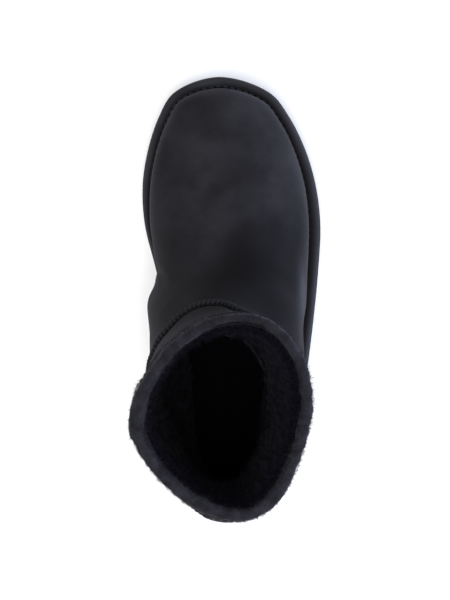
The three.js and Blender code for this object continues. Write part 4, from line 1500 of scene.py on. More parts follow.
@dataclass
class FoamSole:
    """Tread plate, midsole and the rim strip that closes the joint with the upper."""

    sole: SoleForm
    upper: UpperForm
    shop: Workshop
    tread_thickness: float = 7.0
    lug_depth: float = 3.0
    groove_width: float = 5.0
    lug_pitch: float = 14.0
    lug_wave: float = 3.0
    sipe_width: float = 1.1
    sipe_depth: float = 1.2
    groove_stations: int = 49
    groove_ends: int = 14  # the higher, the squarer a groove's ends
    groove_flare: float = 0.5
    first_groove: float = 0.07  # shares of the sole's length
    last_groove: float = 0.93
    tread_rim: float = 6.5
    side_step: float = 1.4
    side_groove: float = 1.6
    clearance: float = 0.3
    rim_setback: float = 0.8
    rim_height: float = 6.0
    skin_gap: float = 0.45
    rim_waves: Layers = ((0.12, 16, 9),)
    # Painted shade on the rim towards the groove beside the upper: where it starts across the rim, its run
    # and its strength.
    rim_shade_from: float = 0.72
    rim_shade_run: float = 0.14
    rim_shade: float = 0.8
    stitch_seat: tuple[float, float] = (0.86, 0.42)
    stitch_pitch: float = 4.2
    stitch_share: float = 0.72
    stitch_radius: float = 0.55
    bearings: int = 480

    @cached_property
    def u(self) -> Array:
        """Shares of the way round for the sole's loops."""
        return np.arange(self.bearings) / self.bearings

    def slab(self, loops: list[Array]) -> MeshParts:
        """Solid from stacked loops, closed at the bottom and the top.

        Args:
            loops: Loops from the bottom up.

        Returns:
            Its mesh.
        """
        parts = MeshParts()
        stack = np.stack(loops)
        last = (len(loops) - 1) * self.bearings
        bottom = [face[:, ::-1] for face in strips(0, self.bearings)]
        sides = lattice(len(loops), self.bearings, False, True)
        parts.add(stack, sides, *bottom, *strips(last, self.bearings))
        return parts

    def groove(self, y: float, width: float, depth: float) -> MeshParts:
        """One wavy cutter across the tread, from below the floor up to the groove's ceiling.

        Args:
            y: Where it crosses, from the heel's end.
            width: Width of the groove.
            depth: Depth of the groove.

        Returns:
            Its mesh.
        """
        line = self.sole.inset(self.tread_rim)
        low, high = self.sole.extent(line, np.array([y]))
        count = self.groove_stations
        x = np.linspace(low[0], high[0], count)
        phase = (x - self.sole.centre[0]) / (self.sole.ball_width / 3) * TAU / 2
        middle = y + self.lug_wave * np.cos(phase)
        pinch = np.sqrt(np.clip(1 - (np.abs(np.linspace(-1, 1, count)) ** self.groove_ends), 0.05, 1))
        half = width / 2 * pinch
        ceiling = self.sole.underside(np.array([y]))[0] + depth
        flare = self.groove_flare
        corners = ((-1, flare, -depth), (1, flare, -depth), (1, 0.0, ceiling), (-1, 0.0, ceiling))
        rows = [(x, middle + side * (half + out), np.full(count, z)) for side, out, z in corners]
        parts = MeshParts()
        sweep(parts, np.stack([np.stack(row, -1) for row in rows], 1))
        return parts

    def build_tread(self) -> None:
        """Tread plate with wavy lugs and a fine sipe along each lug."""
        under, step = self.sole.underside, self.side_step
        thick = self.tread_thickness
        plate = self.slab(
            [
                self.sole.loop(self.u, step, under),
                self.sole.loop(self.u, 0.4, lambda y: under(y) + 0.5),
                self.sole.loop(self.u, 0.0, lambda y: under(y) + step),
                self.sole.loop(self.u, 0.0, lambda y: under(y) + thick - step),
                self.sole.loop(self.u, 0.4, lambda y: under(y) + thick - 0.5),
                self.sole.loop(self.u, step, lambda y: under(y) + thick),
            ]
        )
        tread = self.shop.piece("tread_plate", plate, TREAD_RUBBER, Slot.TREAD, "outsole", crisp=40)
        cutters = MeshParts()
        first = self.first_groove * self.sole.length
        count = int((self.last_groove * self.sole.length - first) / self.lug_pitch)
        for k in range(count + 1):
            y = first + k * self.lug_pitch
            deep = self.groove(y, self.groove_width, self.lug_depth)
            cutters.add(np.concatenate(deep.points), *deep.faces)
            if k < count:
                fine = self.groove(y + self.lug_pitch / 2, self.sipe_width, self.sipe_depth)
                cutters.add(np.concatenate(fine.points), *fine.faces)
        knife = self.shop.piece("tread_cutters", cutters, TREAD_RUBBER, Slot.TREAD)
        cut = tread.modifiers.new("grooves", "BOOLEAN")
        cut.object, cut.operation, cut.solver = knife, "DIFFERENCE", "EXACT"
        carved = bpy.data.meshes.new_from_object(tread.evaluated_get(bpy.context.evaluated_depsgraph_get()))
        tread.modifiers.clear()
        tread.data = carved
        tread.data.set_sharp_from_angle(angle=math.radians(35))
        bpy.data.objects.remove(knife)

    def build_midsole(self) -> None:
        """Foam body with its stepped foot and the groove round its side."""
        base = self.tread_thickness + self.clearance

        def between(share: float) -> Callable[[Array], Array]:
            """Height function a share of the way up the midsole."""
            return lambda y: mix(self.sole.underside(y) + base, self.sole.top(y), share)

        step, groove = self.side_step, self.side_groove
        foot = [(step, 0.0), (step, 0.1), (step * 0.8, 0.14), (step * 0.25, 0.19), (0.0, 0.23)]
        wall = [(0.0, 0.4), (0.0, 0.58), (0.15, 0.61), (groove * 0.6, 0.635), (groove, 0.67)]
        top = [(groove * 0.6, 0.705), (0.15, 0.73), (0.0, 0.76), (0.0, 0.9), (0.2, 0.96)]
        side = foot + wall + top + [(self.rim_setback, 1.0)]
        loops = [self.sole.loop(self.u, inset, between(share)) for inset, share in side]
        for out in (self.skin_gap, -self.upper.wall - 1):
            rim = self.upper.at(self.u, 0.0, out)
            loops.append(np.concatenate([rim[:, :2], self.sole.top(rim[:, 1])[:, None]], 1))
        self.shop.piece("foam_midsole", self.slab(loops), SOLE_FOAM, Slot.FOAM, "midsole", crisp=50)

    def rim_section(self, across: Array, height: Array) -> Array:
        """Lays a section of the rim round the whole sole.

        Args:
            across: Shares of the way from the rim's outer edge in to the upper.
            height: Shares of the rim's height.

        Returns:
            Points, section by section.
        """
        outer = self.sole.loop(self.u, self.rim_setback, self.sole.top)[:, :2]
        low = self.upper.at(self.u, 0.0, self.skin_gap)[:, :2]
        high = self.upper.at(self.u, self.upper.level(self.u, self.rim_height), self.skin_gap)[:, :2]
        nearer = np.linalg.norm(high - outer, axis=1) < np.linalg.norm(low - outer, axis=1)
        inner = np.where(nearer[:, None], high, low)
        xy = mix(outer[:, None], inner[:, None], across[None, :, None])
        z = self.sole.top(xy[..., 1]) + self.clearance + height * self.rim_height
        return np.concatenate([xy, z[..., None]], -1)

    def build_rim(self) -> None:
        """Rounded rim with the groove beside the upper where it is sewn down."""
        across = np.array(RIM["across"], float)
        section = self.rim_section(across, np.array(RIM["height"], float))
        waves = lumps(section, self.rim_waves)
        section[:, 3:12, 2] += waves[:, 3:12]  # only on the rounded back
        parts = MeshParts()
        # Painted shade: the rim darkens towards the groove beside the upper.
        sunk = np.clip((across - self.rim_shade_from) / self.rim_shade_run, 0, 1) * self.rim_shade
        shade = np.broadcast_to(sunk, section.shape[:2])
        parts.add(section, lattice(self.bearings, len(across), True, True), shade=shade)
        self.shop.piece("rim_strip", parts, RIM_SUEDE, Slot.RIM, "welt", crisp=60)

    def build_rim_stitches(self) -> None:
        """Lock stitches that hold the rim to the upper, seen where the groove opens at the toe."""
        across, height = self.stitch_seat
        seat = self.rim_section(np.array([across]), np.array([height]))[:, 0]
        seat = np.concatenate([seat, seat[:1]])
        places, _ = even_path(seat, self.stitch_pitch)
        centres = along_path(seat, places[:-1])
        tangents = unit(np.roll(centres, -1, 0) - np.roll(centres, 1, 0))
        normals = np.tile([0.0, 0.0, 1.0], (len(centres), 1))
        parts = MeshParts()
        length = self.stitch_pitch * self.stitch_share
        parts.add_many(*stitch_forms(centres, tangents, normals, length, self.stitch_radius))
        self.shop.piece("rim_stitches", parts, THREAD, Slot.THREAD)

    def build(self) -> None:
        """Builds every piece of the sole."""
        self.build_tread()
        self.build_midsole()
        self.build_rim()
        self.build_rim_stitches()


@dataclass
class SuedeUpper:
    """The hide itself, with the overlays and seams that lie on it."""

    sole: SoleForm
    upper: UpperForm
    shop: Workshop
    hide: float = 1.2
    skin_gap: float = 0.2
    counter_thickness: float = 1.1
    counter_height: float = 56.0
    counter_reach: float = 8 / 60
    strip_width: float = 15.0
    strip_thickness: float = 1.2
    label_width: float = 26.0
    label_height: float = 17.0
    label_thickness: float = 0.5
    label_drop: float = 7.0
    binding_drop: float = 11.0
    rim_height: float = 6.0
    seam_width: float = 3.0
    seam_height: float = 2.0
    side_seam_width: float = 2.6
    side_seam_height: float = 1.5
    side_seam_along: float = 0.265
    side_seam_foot: float = 0.45
    side_seam_top: float = 0.8
    turn_pitch: float = 2.7
    turn_radius: float = 0.3
    seam_spacing: float = 0.55
    seam_bite: float = 0.16
    stitch_pitch: float = 3.2
    stitch_share: float = 0.76
    label_pitch: float = 2.6
    sunk_edge: float = 0.25
    sunk_back: float = 0.35
    edge_dark_width: float = 2.2
    hide_bearings: int = 480
    hide_rows: tuple[int, int] = (152, 22)  # outside and inside

    # Zones of the painted shade and highlight: along the boot from the heel's end, across it from its
    # middle.
    instep_front: Ramp = Ramp(176, -46)
    instep_back: Ramp = Ramp(72, 20)
    wedge_front: Ramp = Ramp(198, -40)
    wedge_side: Ramp = Ramp(-4, 24)
    wedge_slope: float = 0.3
    wedge_back: Ramp = Ramp(78, 46)
    wedge_rim: Ramp = Ramp(54, -14)
    low_shade: Ramp = Ramp(1, 5)  # painted shade close above the rim
    flank: Ramp = Ramp(-12, -22)
    # The streak is a painted highlight; streak_highlight is how pale it is painted.
    streak_across: float = 44.5
    streak_width: float = 3.0
    streak_back: Ramp = Ramp(108, 26)
    streak_front: Ramp = Ramp(170, -34)
    streak_highlight: float = 0.6

    def painted_shade_and_highlight(self, points: Array) -> Array:
        """How dark the hide is painted as shade, or below zero how pale it is painted as a highlight.

        Painted shade lies over the instep, in a wedge on its outer side, low down by the rim and on the
        inner flank, and a painted highlight runs in a streak along the outer side of the waist, where light
        glances.

        Args:
            points: Points of the hide.

        Returns:
            One shade for each.
        """
        x, y = points[..., 0], points[..., 1]
        instep = self.instep_front.at(y) * self.instep_back.at(y)
        side = self.wedge_side.at(x + (self.wedge_front.start - y) * self.wedge_slope)
        wedge = self.wedge_front.at(y) * side * self.wedge_back.at(y) * self.wedge_rim.at(x)
        low = 1 - self.low_shade.at(points[..., 2] - self.sole.top(y) - self.rim_height)
        # Painted highlight: a pale streak along the outer side wall of the waist.
        streak = np.exp(-(((x - self.streak_across) / self.streak_width) ** 2))
        streak = streak * self.streak_back.at(y) * self.streak_front.at(y)
        # Painted shade over the instep, in the wedge, on the inner flank and low down by the rim.
        flat = 0.5 * instep + 0.7 * wedge + 0.32 * self.flank.at(x) + 0.5 * low
        return mix(np.clip(flat, 0, 0.97), -self.streak_highlight, streak)

    def build_skin(self) -> None:
        """One hide from the sole to the collar, with its own thickness."""
        u = np.arange(self.hide_bearings) / self.hide_bearings
        outside, inside = np.linspace(0, 1, self.hide_rows[0]), np.linspace(1, 0, self.hide_rows[1])
        outer = self.upper.at(u[:, None], outside[None, :])
        inner = self.upper.at(u[:, None], inside[None, :], -self.hide)
        grid = np.concatenate([outer, inner], 1)
        parts = MeshParts()
        parts.add(grid, lattice(*grid.shape[:2], True, True), shade=self.painted_shade_and_highlight(grid))
        self.shop.piece("suede_upper", parts, SUEDE, Slot.SUEDE, "upper")

    def patch(
        self, us: Array, low: Array, high: Array, thickness: float, rows: int, edge: float
    ) -> MeshParts:
        """A closed overlay with rounded edges, a little sunk in what it lies on.

        Args:
            us: Shares of the way round, from one end to the other.
            low: Lower edge at each of them.
            high: Upper edge at each of them.
            thickness: How far its face stands off the hide.
            rows: Rows from edge to edge.
            edge: Width over which an edge rounds off.

        Returns:
            Its mesh.
        """
        s = np.unique(np.concatenate([np.linspace(0, 1, rows), EDGE_ROWS]))
        u, v = np.broadcast_arrays(us[:, None], mix(low[:, None], high[:, None], s[None]))
        flat = self.upper.at(u, v)
        to_low = np.linalg.norm(flat - flat[:, :1], axis=-1)
        to_high = np.linalg.norm(flat - flat[:, -1:], axis=-1)
        to_start = np.linalg.norm(flat - flat[:1], axis=-1)
        to_end = np.linalg.norm(flat - flat[-1:], axis=-1)
        nearest = np.minimum(np.minimum(to_low, to_high), np.minimum(to_start, to_end))
        t = np.clip(nearest / edge, 0, 1)
        outer = self.upper.at(u, v, mix(-self.sunk_edge, thickness, np.sqrt(1 - (1 - t) ** 2)))
        inner = self.upper.at(u, v, -self.sunk_back)
        parts = MeshParts()
        count = outer.shape[1]
        ring = np.concatenate([outer, inner[:, ::-1]], 1)
        k = np.arange(count - 1)
        end = np.stack([k, k + 1, 2 * count - 2 - k, 2 * count - 1 - k], -1)
        last = (len(us) - 1) * 2 * count
        # Darker within a few millimetres of each edge of the overlay.
        edge_darkening = np.clip(1 - nearest / self.edge_dark_width, 0, 1) * 0.5
        shade = np.concatenate([edge_darkening, np.zeros_like(nearest)], 1)
        parts.add(ring, lattice(len(us), 2 * count, False, True), end[:, ::-1], end + last, shade=shade)
        return parts

    def thread_row(
        self, parts: MeshParts, u: Array, v: Array, out: float, pitch: float, radius: float
    ) -> None:
        """Adds a row of stitches along a line on the upper.

        Args:
            parts: Mesh that takes them.
            u: Line's shares of the way round.
            v: Line's shares of the way up.
            out: Height of the surface that they lie on.
            pitch: From stitch to stitch.
            radius: Radius of the thread.
        """
        line = self.upper.at(u, v, out)
        places, _ = even_path(line, pitch)
        places = (places[:-1] + places[1:]) / 2
        centres = along_path(line, places)
        tangents = unit(along_path(np.gradient(line, axis=0), places))
        normals = unit(along_path(self.upper.normal(u, v), places))
        parts.add_many(*stitch_forms(centres, tangents, normals, pitch * self.stitch_share, radius))

    def counter_top(self, u: Array) -> Array:
        """Height of the counter's top edge above the midsole."""
        return self.counter_height * column(COUNTER, "height", 1 - np.abs(u - 0.5) / self.counter_reach)

    def back_share(self, width: float, v: float) -> float:
        """Share of the way round that a width takes across the back."""
        chord = np.linalg.norm(self.upper.at(0.51, v) - self.upper.at(0.49, v))
        return float(width / chord * 0.01)

    def build_counter(self) -> None:
        """Counter over the heel."""
        u = 0.5 + np.linspace(-1, 1, 150) * self.counter_reach
        low = self.upper.level(u, self.rim_height - 1.2)
        high = self.upper.level(u, self.counter_top(u))
        parts = self.patch(u, low, high, self.skin_gap + self.counter_thickness, 46, 1.3)
        self.shop.piece("suede_counter", parts, SUEDE, Slot.SUEDE, "heel_counter")

    def build_label(self) -> None:
        """Bare patch high on the counter."""
        top = self.counter_height - self.label_drop
        middle = float(self.upper.level(np.array(0.5), top - self.label_height / 2))
        u = 0.5 + np.linspace(-1, 1, 61) * self.back_share(self.label_width, middle)
        low = self.upper.level(u, top - self.label_height)
        high = self.upper.level(u, top)
        out = self.skin_gap + self.counter_thickness + self.label_thickness
        parts = self.patch(u, low, high, out, 30, 0.8)
        self.shop.piece("bare_label", parts, BINDING_SUEDE, Slot.BINDING, "heel_label")

    def build_strip(self) -> None:
        """Strip over the back seam."""
        middle = float(self.upper.level(np.array(0.5), (self.counter_height + self.upper.shaft_height) / 2))
        u = 0.5 + np.linspace(-1, 1, 41) * self.back_share(self.strip_width, middle)
        low = self.upper.level(u, self.counter_top(u) - 1.5)
        high = self.upper.below_edge(u, self.binding_drop - 1.5)
        parts = self.patch(u, low, high, self.skin_gap + self.strip_thickness, 60, 1.1)
        self.shop.piece("suede_back_strip", parts, SUEDE, Slot.SUEDE, "back_strip")

    def build_topstitching(self) -> None:
        """Rows of lock stitches: two along the counter's top, one down each side of strip and label."""
        parts = MeshParts()
        face = self.skin_gap + self.counter_thickness
        for drop in (2.4, 5.0):
            reach = self.counter_reach * (1 - 0.05 * drop / 2.4)
            u = 0.5 + np.linspace(-1, 1, 220) * reach
            v = self.upper.level(u, self.counter_top(u) - drop * 1.25)
            self.thread_row(parts, u, v, face, self.stitch_pitch, 0.38)
        middle = float(self.upper.level(np.array(0.5), (self.counter_height + self.upper.shaft_height) / 2))
        for side in (-1, 1):
            share = self.back_share(self.strip_width - 4.4, middle)
            ends = np.array([0.5 + side * share])
            low = float(self.upper.level(ends, self.counter_height + 1.5)[0])
            high = float(self.upper.below_edge(ends, self.binding_drop + 1)[0])
            v = np.linspace(low, high, 80)
            out = self.skin_gap + self.strip_thickness
            self.thread_row(parts, np.full(80, ends[0]), v, out, self.stitch_pitch, 0.36)
        top = self.counter_height - self.label_drop
        centre = float(self.upper.level(np.array(0.5), top - self.label_height / 2))
        half = self.back_share(self.label_width - 4.0, centre)
        u = 0.5 + np.linspace(-1, 1, 60) * half
        out = face + self.label_thickness
        for height in (top - 2.0, top - self.label_height + 2.0):
            self.thread_row(parts, u, self.upper.level(u, height), out, self.label_pitch, 0.3)
        heights = np.linspace(top - self.label_height + 3, top - 3, 30)
        for side in (-1, 1):
            u = np.full(30, 0.5 + side * half)
            self.thread_row(parts, u, self.upper.level(u, heights), out, self.label_pitch, 0.3)
        self.shop.piece("topstitching", parts, THREAD, Slot.THREAD)

    def raised_seam(self, u: Array, v: Array, width: float, height: float) -> tuple[MeshParts, MeshParts]:
        """A raised seam and the thread cast over it.

        Args:
            u: Path's shares of the way round.
            v: Path's shares of the way up.
            width: Width of the seam.
            height: Height of the seam.

        Returns:
            Mesh of the seam's folded edges and mesh of its thread.
        """
        places, length = even_path(self.upper.at(u, v), self.seam_spacing)
        u, v = along_path(u, places), along_path(v, places)
        line = self.upper.at(u, v)
        tangents = unit(np.gradient(line, axis=0))
        normals = self.upper.normal(u, v)
        across = unit(np.cross(normals, tangents))
        run = np.linspace(0, length, len(line))
        turns = int(length / self.turn_pitch)
        bite = 1 - self.seam_bite * (0.5 + 0.5 * np.cos(TAU * turns * run / length))
        side, rise = np.array(SEAM_SECTION["across"], float), np.array(SEAM_SECTION["height"], float)
        lift = np.where(rise > 0, bite[:, None] * height * rise, height * rise)
        stations = (
            line[:, None]
            + across[:, None] * (side * width / 2)[None, :, None]
            + normals[:, None] * lift[..., None]
        )
        seam = MeshParts()
        # Painted shade: the seam's low sides, where it meets the hide, are darker than its crown.
        sweep(seam, stations, shade=np.broadcast_to(np.where(rise < 0.4, 0.7, 0.1), stations.shape[:2]))
        spot = (np.arange(turns) + 0.5) * (len(line) - 1) / turns
        thread = MeshParts()
        thread.add_many(
            *overcast_forms(
                along_path(line, spot),
                unit(along_path(tangents, spot)),
                unit(along_path(normals, spot)),
                width * 0.84,
                height * 0.8,
                self.turn_radius,
                self.turn_pitch * 0.8,
            )
        )
        return seam, thread

    def build_vamp_seam(self) -> None:
        """Seam that arches over the instep, and its thread."""
        seam, thread = self.raised_seam(*self.upper.vamp_line(), self.seam_width, self.seam_height)
        self.shop.piece("vamp_seam_edges", seam, SUEDE, Slot.SUEDE, "vamp_seam")
        self.shop.piece("vamp_seam_thread", thread, THREAD, Slot.THREAD)

    def build_side_seam(self, side: Side) -> None:
        """Seam down one side of the shaft, and its thread.

        Args:
            side: Outer or inner.
        """
        y = self.side_seam_along * self.sole.length
        near_top = np.array([self.side_seam_top * self.upper.shaft_height])
        top_u, _ = self.upper.side_place(side, np.array([y]), near_top)
        edge = self.upper.at(top_u, self.upper.below_edge(top_u, self.binding_drop - 1))[0]
        high = edge[2] - self.sole.top(edge[1])
        heights = np.linspace(high, self.side_seam_foot * self.upper.shaft_height, 40)
        u, v = self.upper.side_place(side, np.full(40, y), heights)
        seam, thread = self.raised_seam(u, v, self.side_seam_width, self.side_seam_height)
        word = side.name.lower()
        self.shop.piece(f"side_seam_edges_{word}", seam, SUEDE, Slot.SUEDE, f"side_seam_{word}")
        self.shop.piece(f"side_seam_thread_{word}", thread, THREAD, Slot.THREAD)

    def build(self) -> None:
        """Builds every piece of the upper."""
        self.build_skin()
        self.build_counter()
        self.build_label()
        self.build_strip()
        self.build_topstitching()
        self.build_vamp_seam()
        for side in Side:
            self.build_side_seam(side)


@dataclass
class CollarBinding:
    """Suede strip folded over the collar, in a front half that laps over the back half at the sides."""

    sole: SoleForm
    upper: UpperForm
    shop: Workshop
    outer_joint: float = 83.0  # from the heel's end
    inner_joint: float = 61.8
    inner_flare: float = 88.0  # where the lapped end begins to stand out
    lap_proud: float = 1.5
    proud: float = 0.9
    slit_proud: float = 0.62
    puffs: Layers = ((0.36, 7.5, 21), (0.4, 3.2, 22), (0.24, 1.6, 23))
    turned_in: Layers = ((0.1, 12, 24), (0.07, 5, 25))
    turned_radius: float = 90.0
    stitch_drop: float = 8.8  # below the collar's edge
    stitch_share: float = 0.74
    stitch_radius: float = 0.36
    nap_radius: float = 0.1
    nap_fibres: int = 8000
    seed: int = 17
    stitch_pitch: float = 3.4
    columns: int = 720

    # Section of the folded strip: outward from the hide's face, and above the collar's edge.
    outward: tuple[float, ...] = (
        *(-0.3, 0.6, 1.3, 1.75, 1.95, 2.0, 1.95, 1.9, 1.75, 1.4, 0.8, 0.0, -0.9, -1.8, -2.7),
        *(-3.5, -4.1, -4.5, -4.7, -4.8, -4.75, -4.6, -4.2, -3.8, -3.4, -3.2, -1.5, 0.0, 0.0),
    )
    above: tuple[float, ...] = (
        *(-11.0, -11.1, -10.7, -9.8, -8.4, -6.6, -4.8, -3.0, -1.4, -0.2, 0.7, 1.2, 1.45, 1.5, 1.35),
        *(0.9, 0.2, -0.9, -2.0, -3.2, -4.8, -6.1, -6.9, -7.0, -4.5, -1.2, -0.3, -1.5, -7.0),
    )
    reach: Table = field(
        default_factory=lambda: {"at": (0, 0.25, 0.5, 0.75, 1), "inside": (0.62, 0.86, 0.98, 1.05, 0.62)}
    )

    def stand(self, u: Array) -> Array:
        """How far the strip's outside stands off: most at the lapped end, least in a joint's slit.

        Args:
            u: Shares round.

        Returns:
            One factor for each.
        """
        outer = self.upper.edge_bearing(Side.OUTER, self.outer_joint)
        inner = self.upper.edge_bearing(Side.INNER, self.inner_joint)
        flare = self.upper.edge_bearing(Side.INNER, self.inner_flare)
        lap = np.where(u > inner, mix(self.lap_proud, self.proud, Ramp(flare, 0.012).at(u)), self.proud)
        return np.where(np.abs(u - outer) * self.columns < 0.7, self.slit_proud, lap)

    def spread(self, u: Array, outward: Array) -> Array:
        """Factor on the section's width: outside as far as it stands off, uneven inside where it turns in.

        Args:
            u: Shares round.
            outward: Places on the section, outward from the hide's face.

        Returns:
            One factor for each.
        """
        turned = self.turned_radius * np.stack([np.cos(TAU * u), np.sin(TAU * u), 0 * u], -1)
        inside = column(self.reach, "inside", u) * (1 + lumps(turned, self.turned_in))
        return np.where(outward > 0, self.stand(u), inside)

    def build_strip(self) -> None:
        """The folded strip."""
        u = np.arange(self.columns) / self.columns
        out, up = np.array(self.outward), np.array(self.above)
        uu, oo = np.broadcast_arrays(u[:, None], out[None])
        oo = oo * self.spread(uu, oo)
        below = np.maximum(0, -up)
        v = self.upper.below_edge(uu, np.broadcast_to(below, uu.shape))
        v = np.where(up[None] >= 0, 1.0, v)
        points = self.upper.at(uu, v, oo)
        rise = unit(self.upper.at(u, 1.0) - self.upper.at(u, NEAR_COLLAR))
        points = points + rise[:, None] * np.maximum(0, up)[None, :, None]
        away = unit(points - self.upper.at(uu, v, -self.upper.wall / 2))
        shown = ((up > -10.5) & (np.arange(len(up)) < 22)).astype(float)
        points = points + away * (lumps(points, self.puffs) * shown[None])[..., None]
        # Painted shade on the strip's bottom edge and on the part turned in over the collar.
        shade = np.broadcast_to(np.where((up < -10) | (out < -4.3), 0.8, 0.0), uu.shape)
        # Full painted shade in the slit of the outer joint.
        slit = (self.stand(u) < 0.7)[:, None] & (out > -3)[None]
        parts = MeshParts()
        parts.add(points, lattice(self.columns, len(out), True, True), shade=np.where(slit, 1.0, shade))
        self.shop.piece("folded_binding", parts, BINDING_SUEDE, Slot.BINDING, "collar_binding")

    def build_stitches(self) -> None:
        """The row of stitches near the strip's lower edge."""
        u = np.linspace(0, 1, 1441)
        v = self.upper.below_edge(u, self.stitch_drop)
        line = self.upper.at(u, v, 1.95 * self.stand(u) + 0.05)
        places, _ = even_path(line, self.stitch_pitch)
        places = places[:-1]
        centres = along_path(line, places)
        tangents = unit(along_path(np.gradient(line, axis=0), places))
        normals = unit(along_path(self.upper.normal(u, v), places))
        parts = MeshParts()
        length = self.stitch_pitch * self.stitch_share
        parts.add_many(*stitch_forms(centres, tangents, normals, length, self.stitch_radius))
        self.shop.piece("binding_stitches", parts, THREAD, Slot.THREAD)

    def build_nap(self) -> None:
        """Short loose nap over the strip, from its lower edge over the top to the inside."""
        rng = np.random.default_rng(self.seed)
        count = self.nap_fibres
        u = rng.random(count)
        out, up = np.array(self.outward), np.array(self.above)
        place = 2 + 18 * rng.random(count)
        o, h = np.interp(place, np.arange(len(out)), out), np.interp(place, np.arange(len(up)), up)
        o = o * self.spread(u, o)
        v = np.where(h >= 0, 1.0, self.upper.below_edge(u, np.maximum(0, -h)))
        rise = unit(self.upper.at(u, 1.0) - self.upper.at(u, NEAR_COLLAR))
        base = self.upper.at(u, v, o) + rise * np.maximum(0, h)[:, None]
        away = unit(base - self.upper.at(u, v, -self.upper.wall / 2))
        lean = unit(away + 0.7 * rng.normal(size=(count, 3)))
        parts = MeshParts()
        length = 0.8 + 1.5 * rng.random(count) ** 2
        parts.add_many(*fibre_forms(rng, base, lean, length, self.nap_radius))
        self.shop.piece("binding_nap", parts, BINDING_SUEDE, Slot.BINDING)

    def build(self) -> None:
        """Builds every piece of the binding."""
        self.build_strip()
        self.build_stitches()
        self.build_nap()


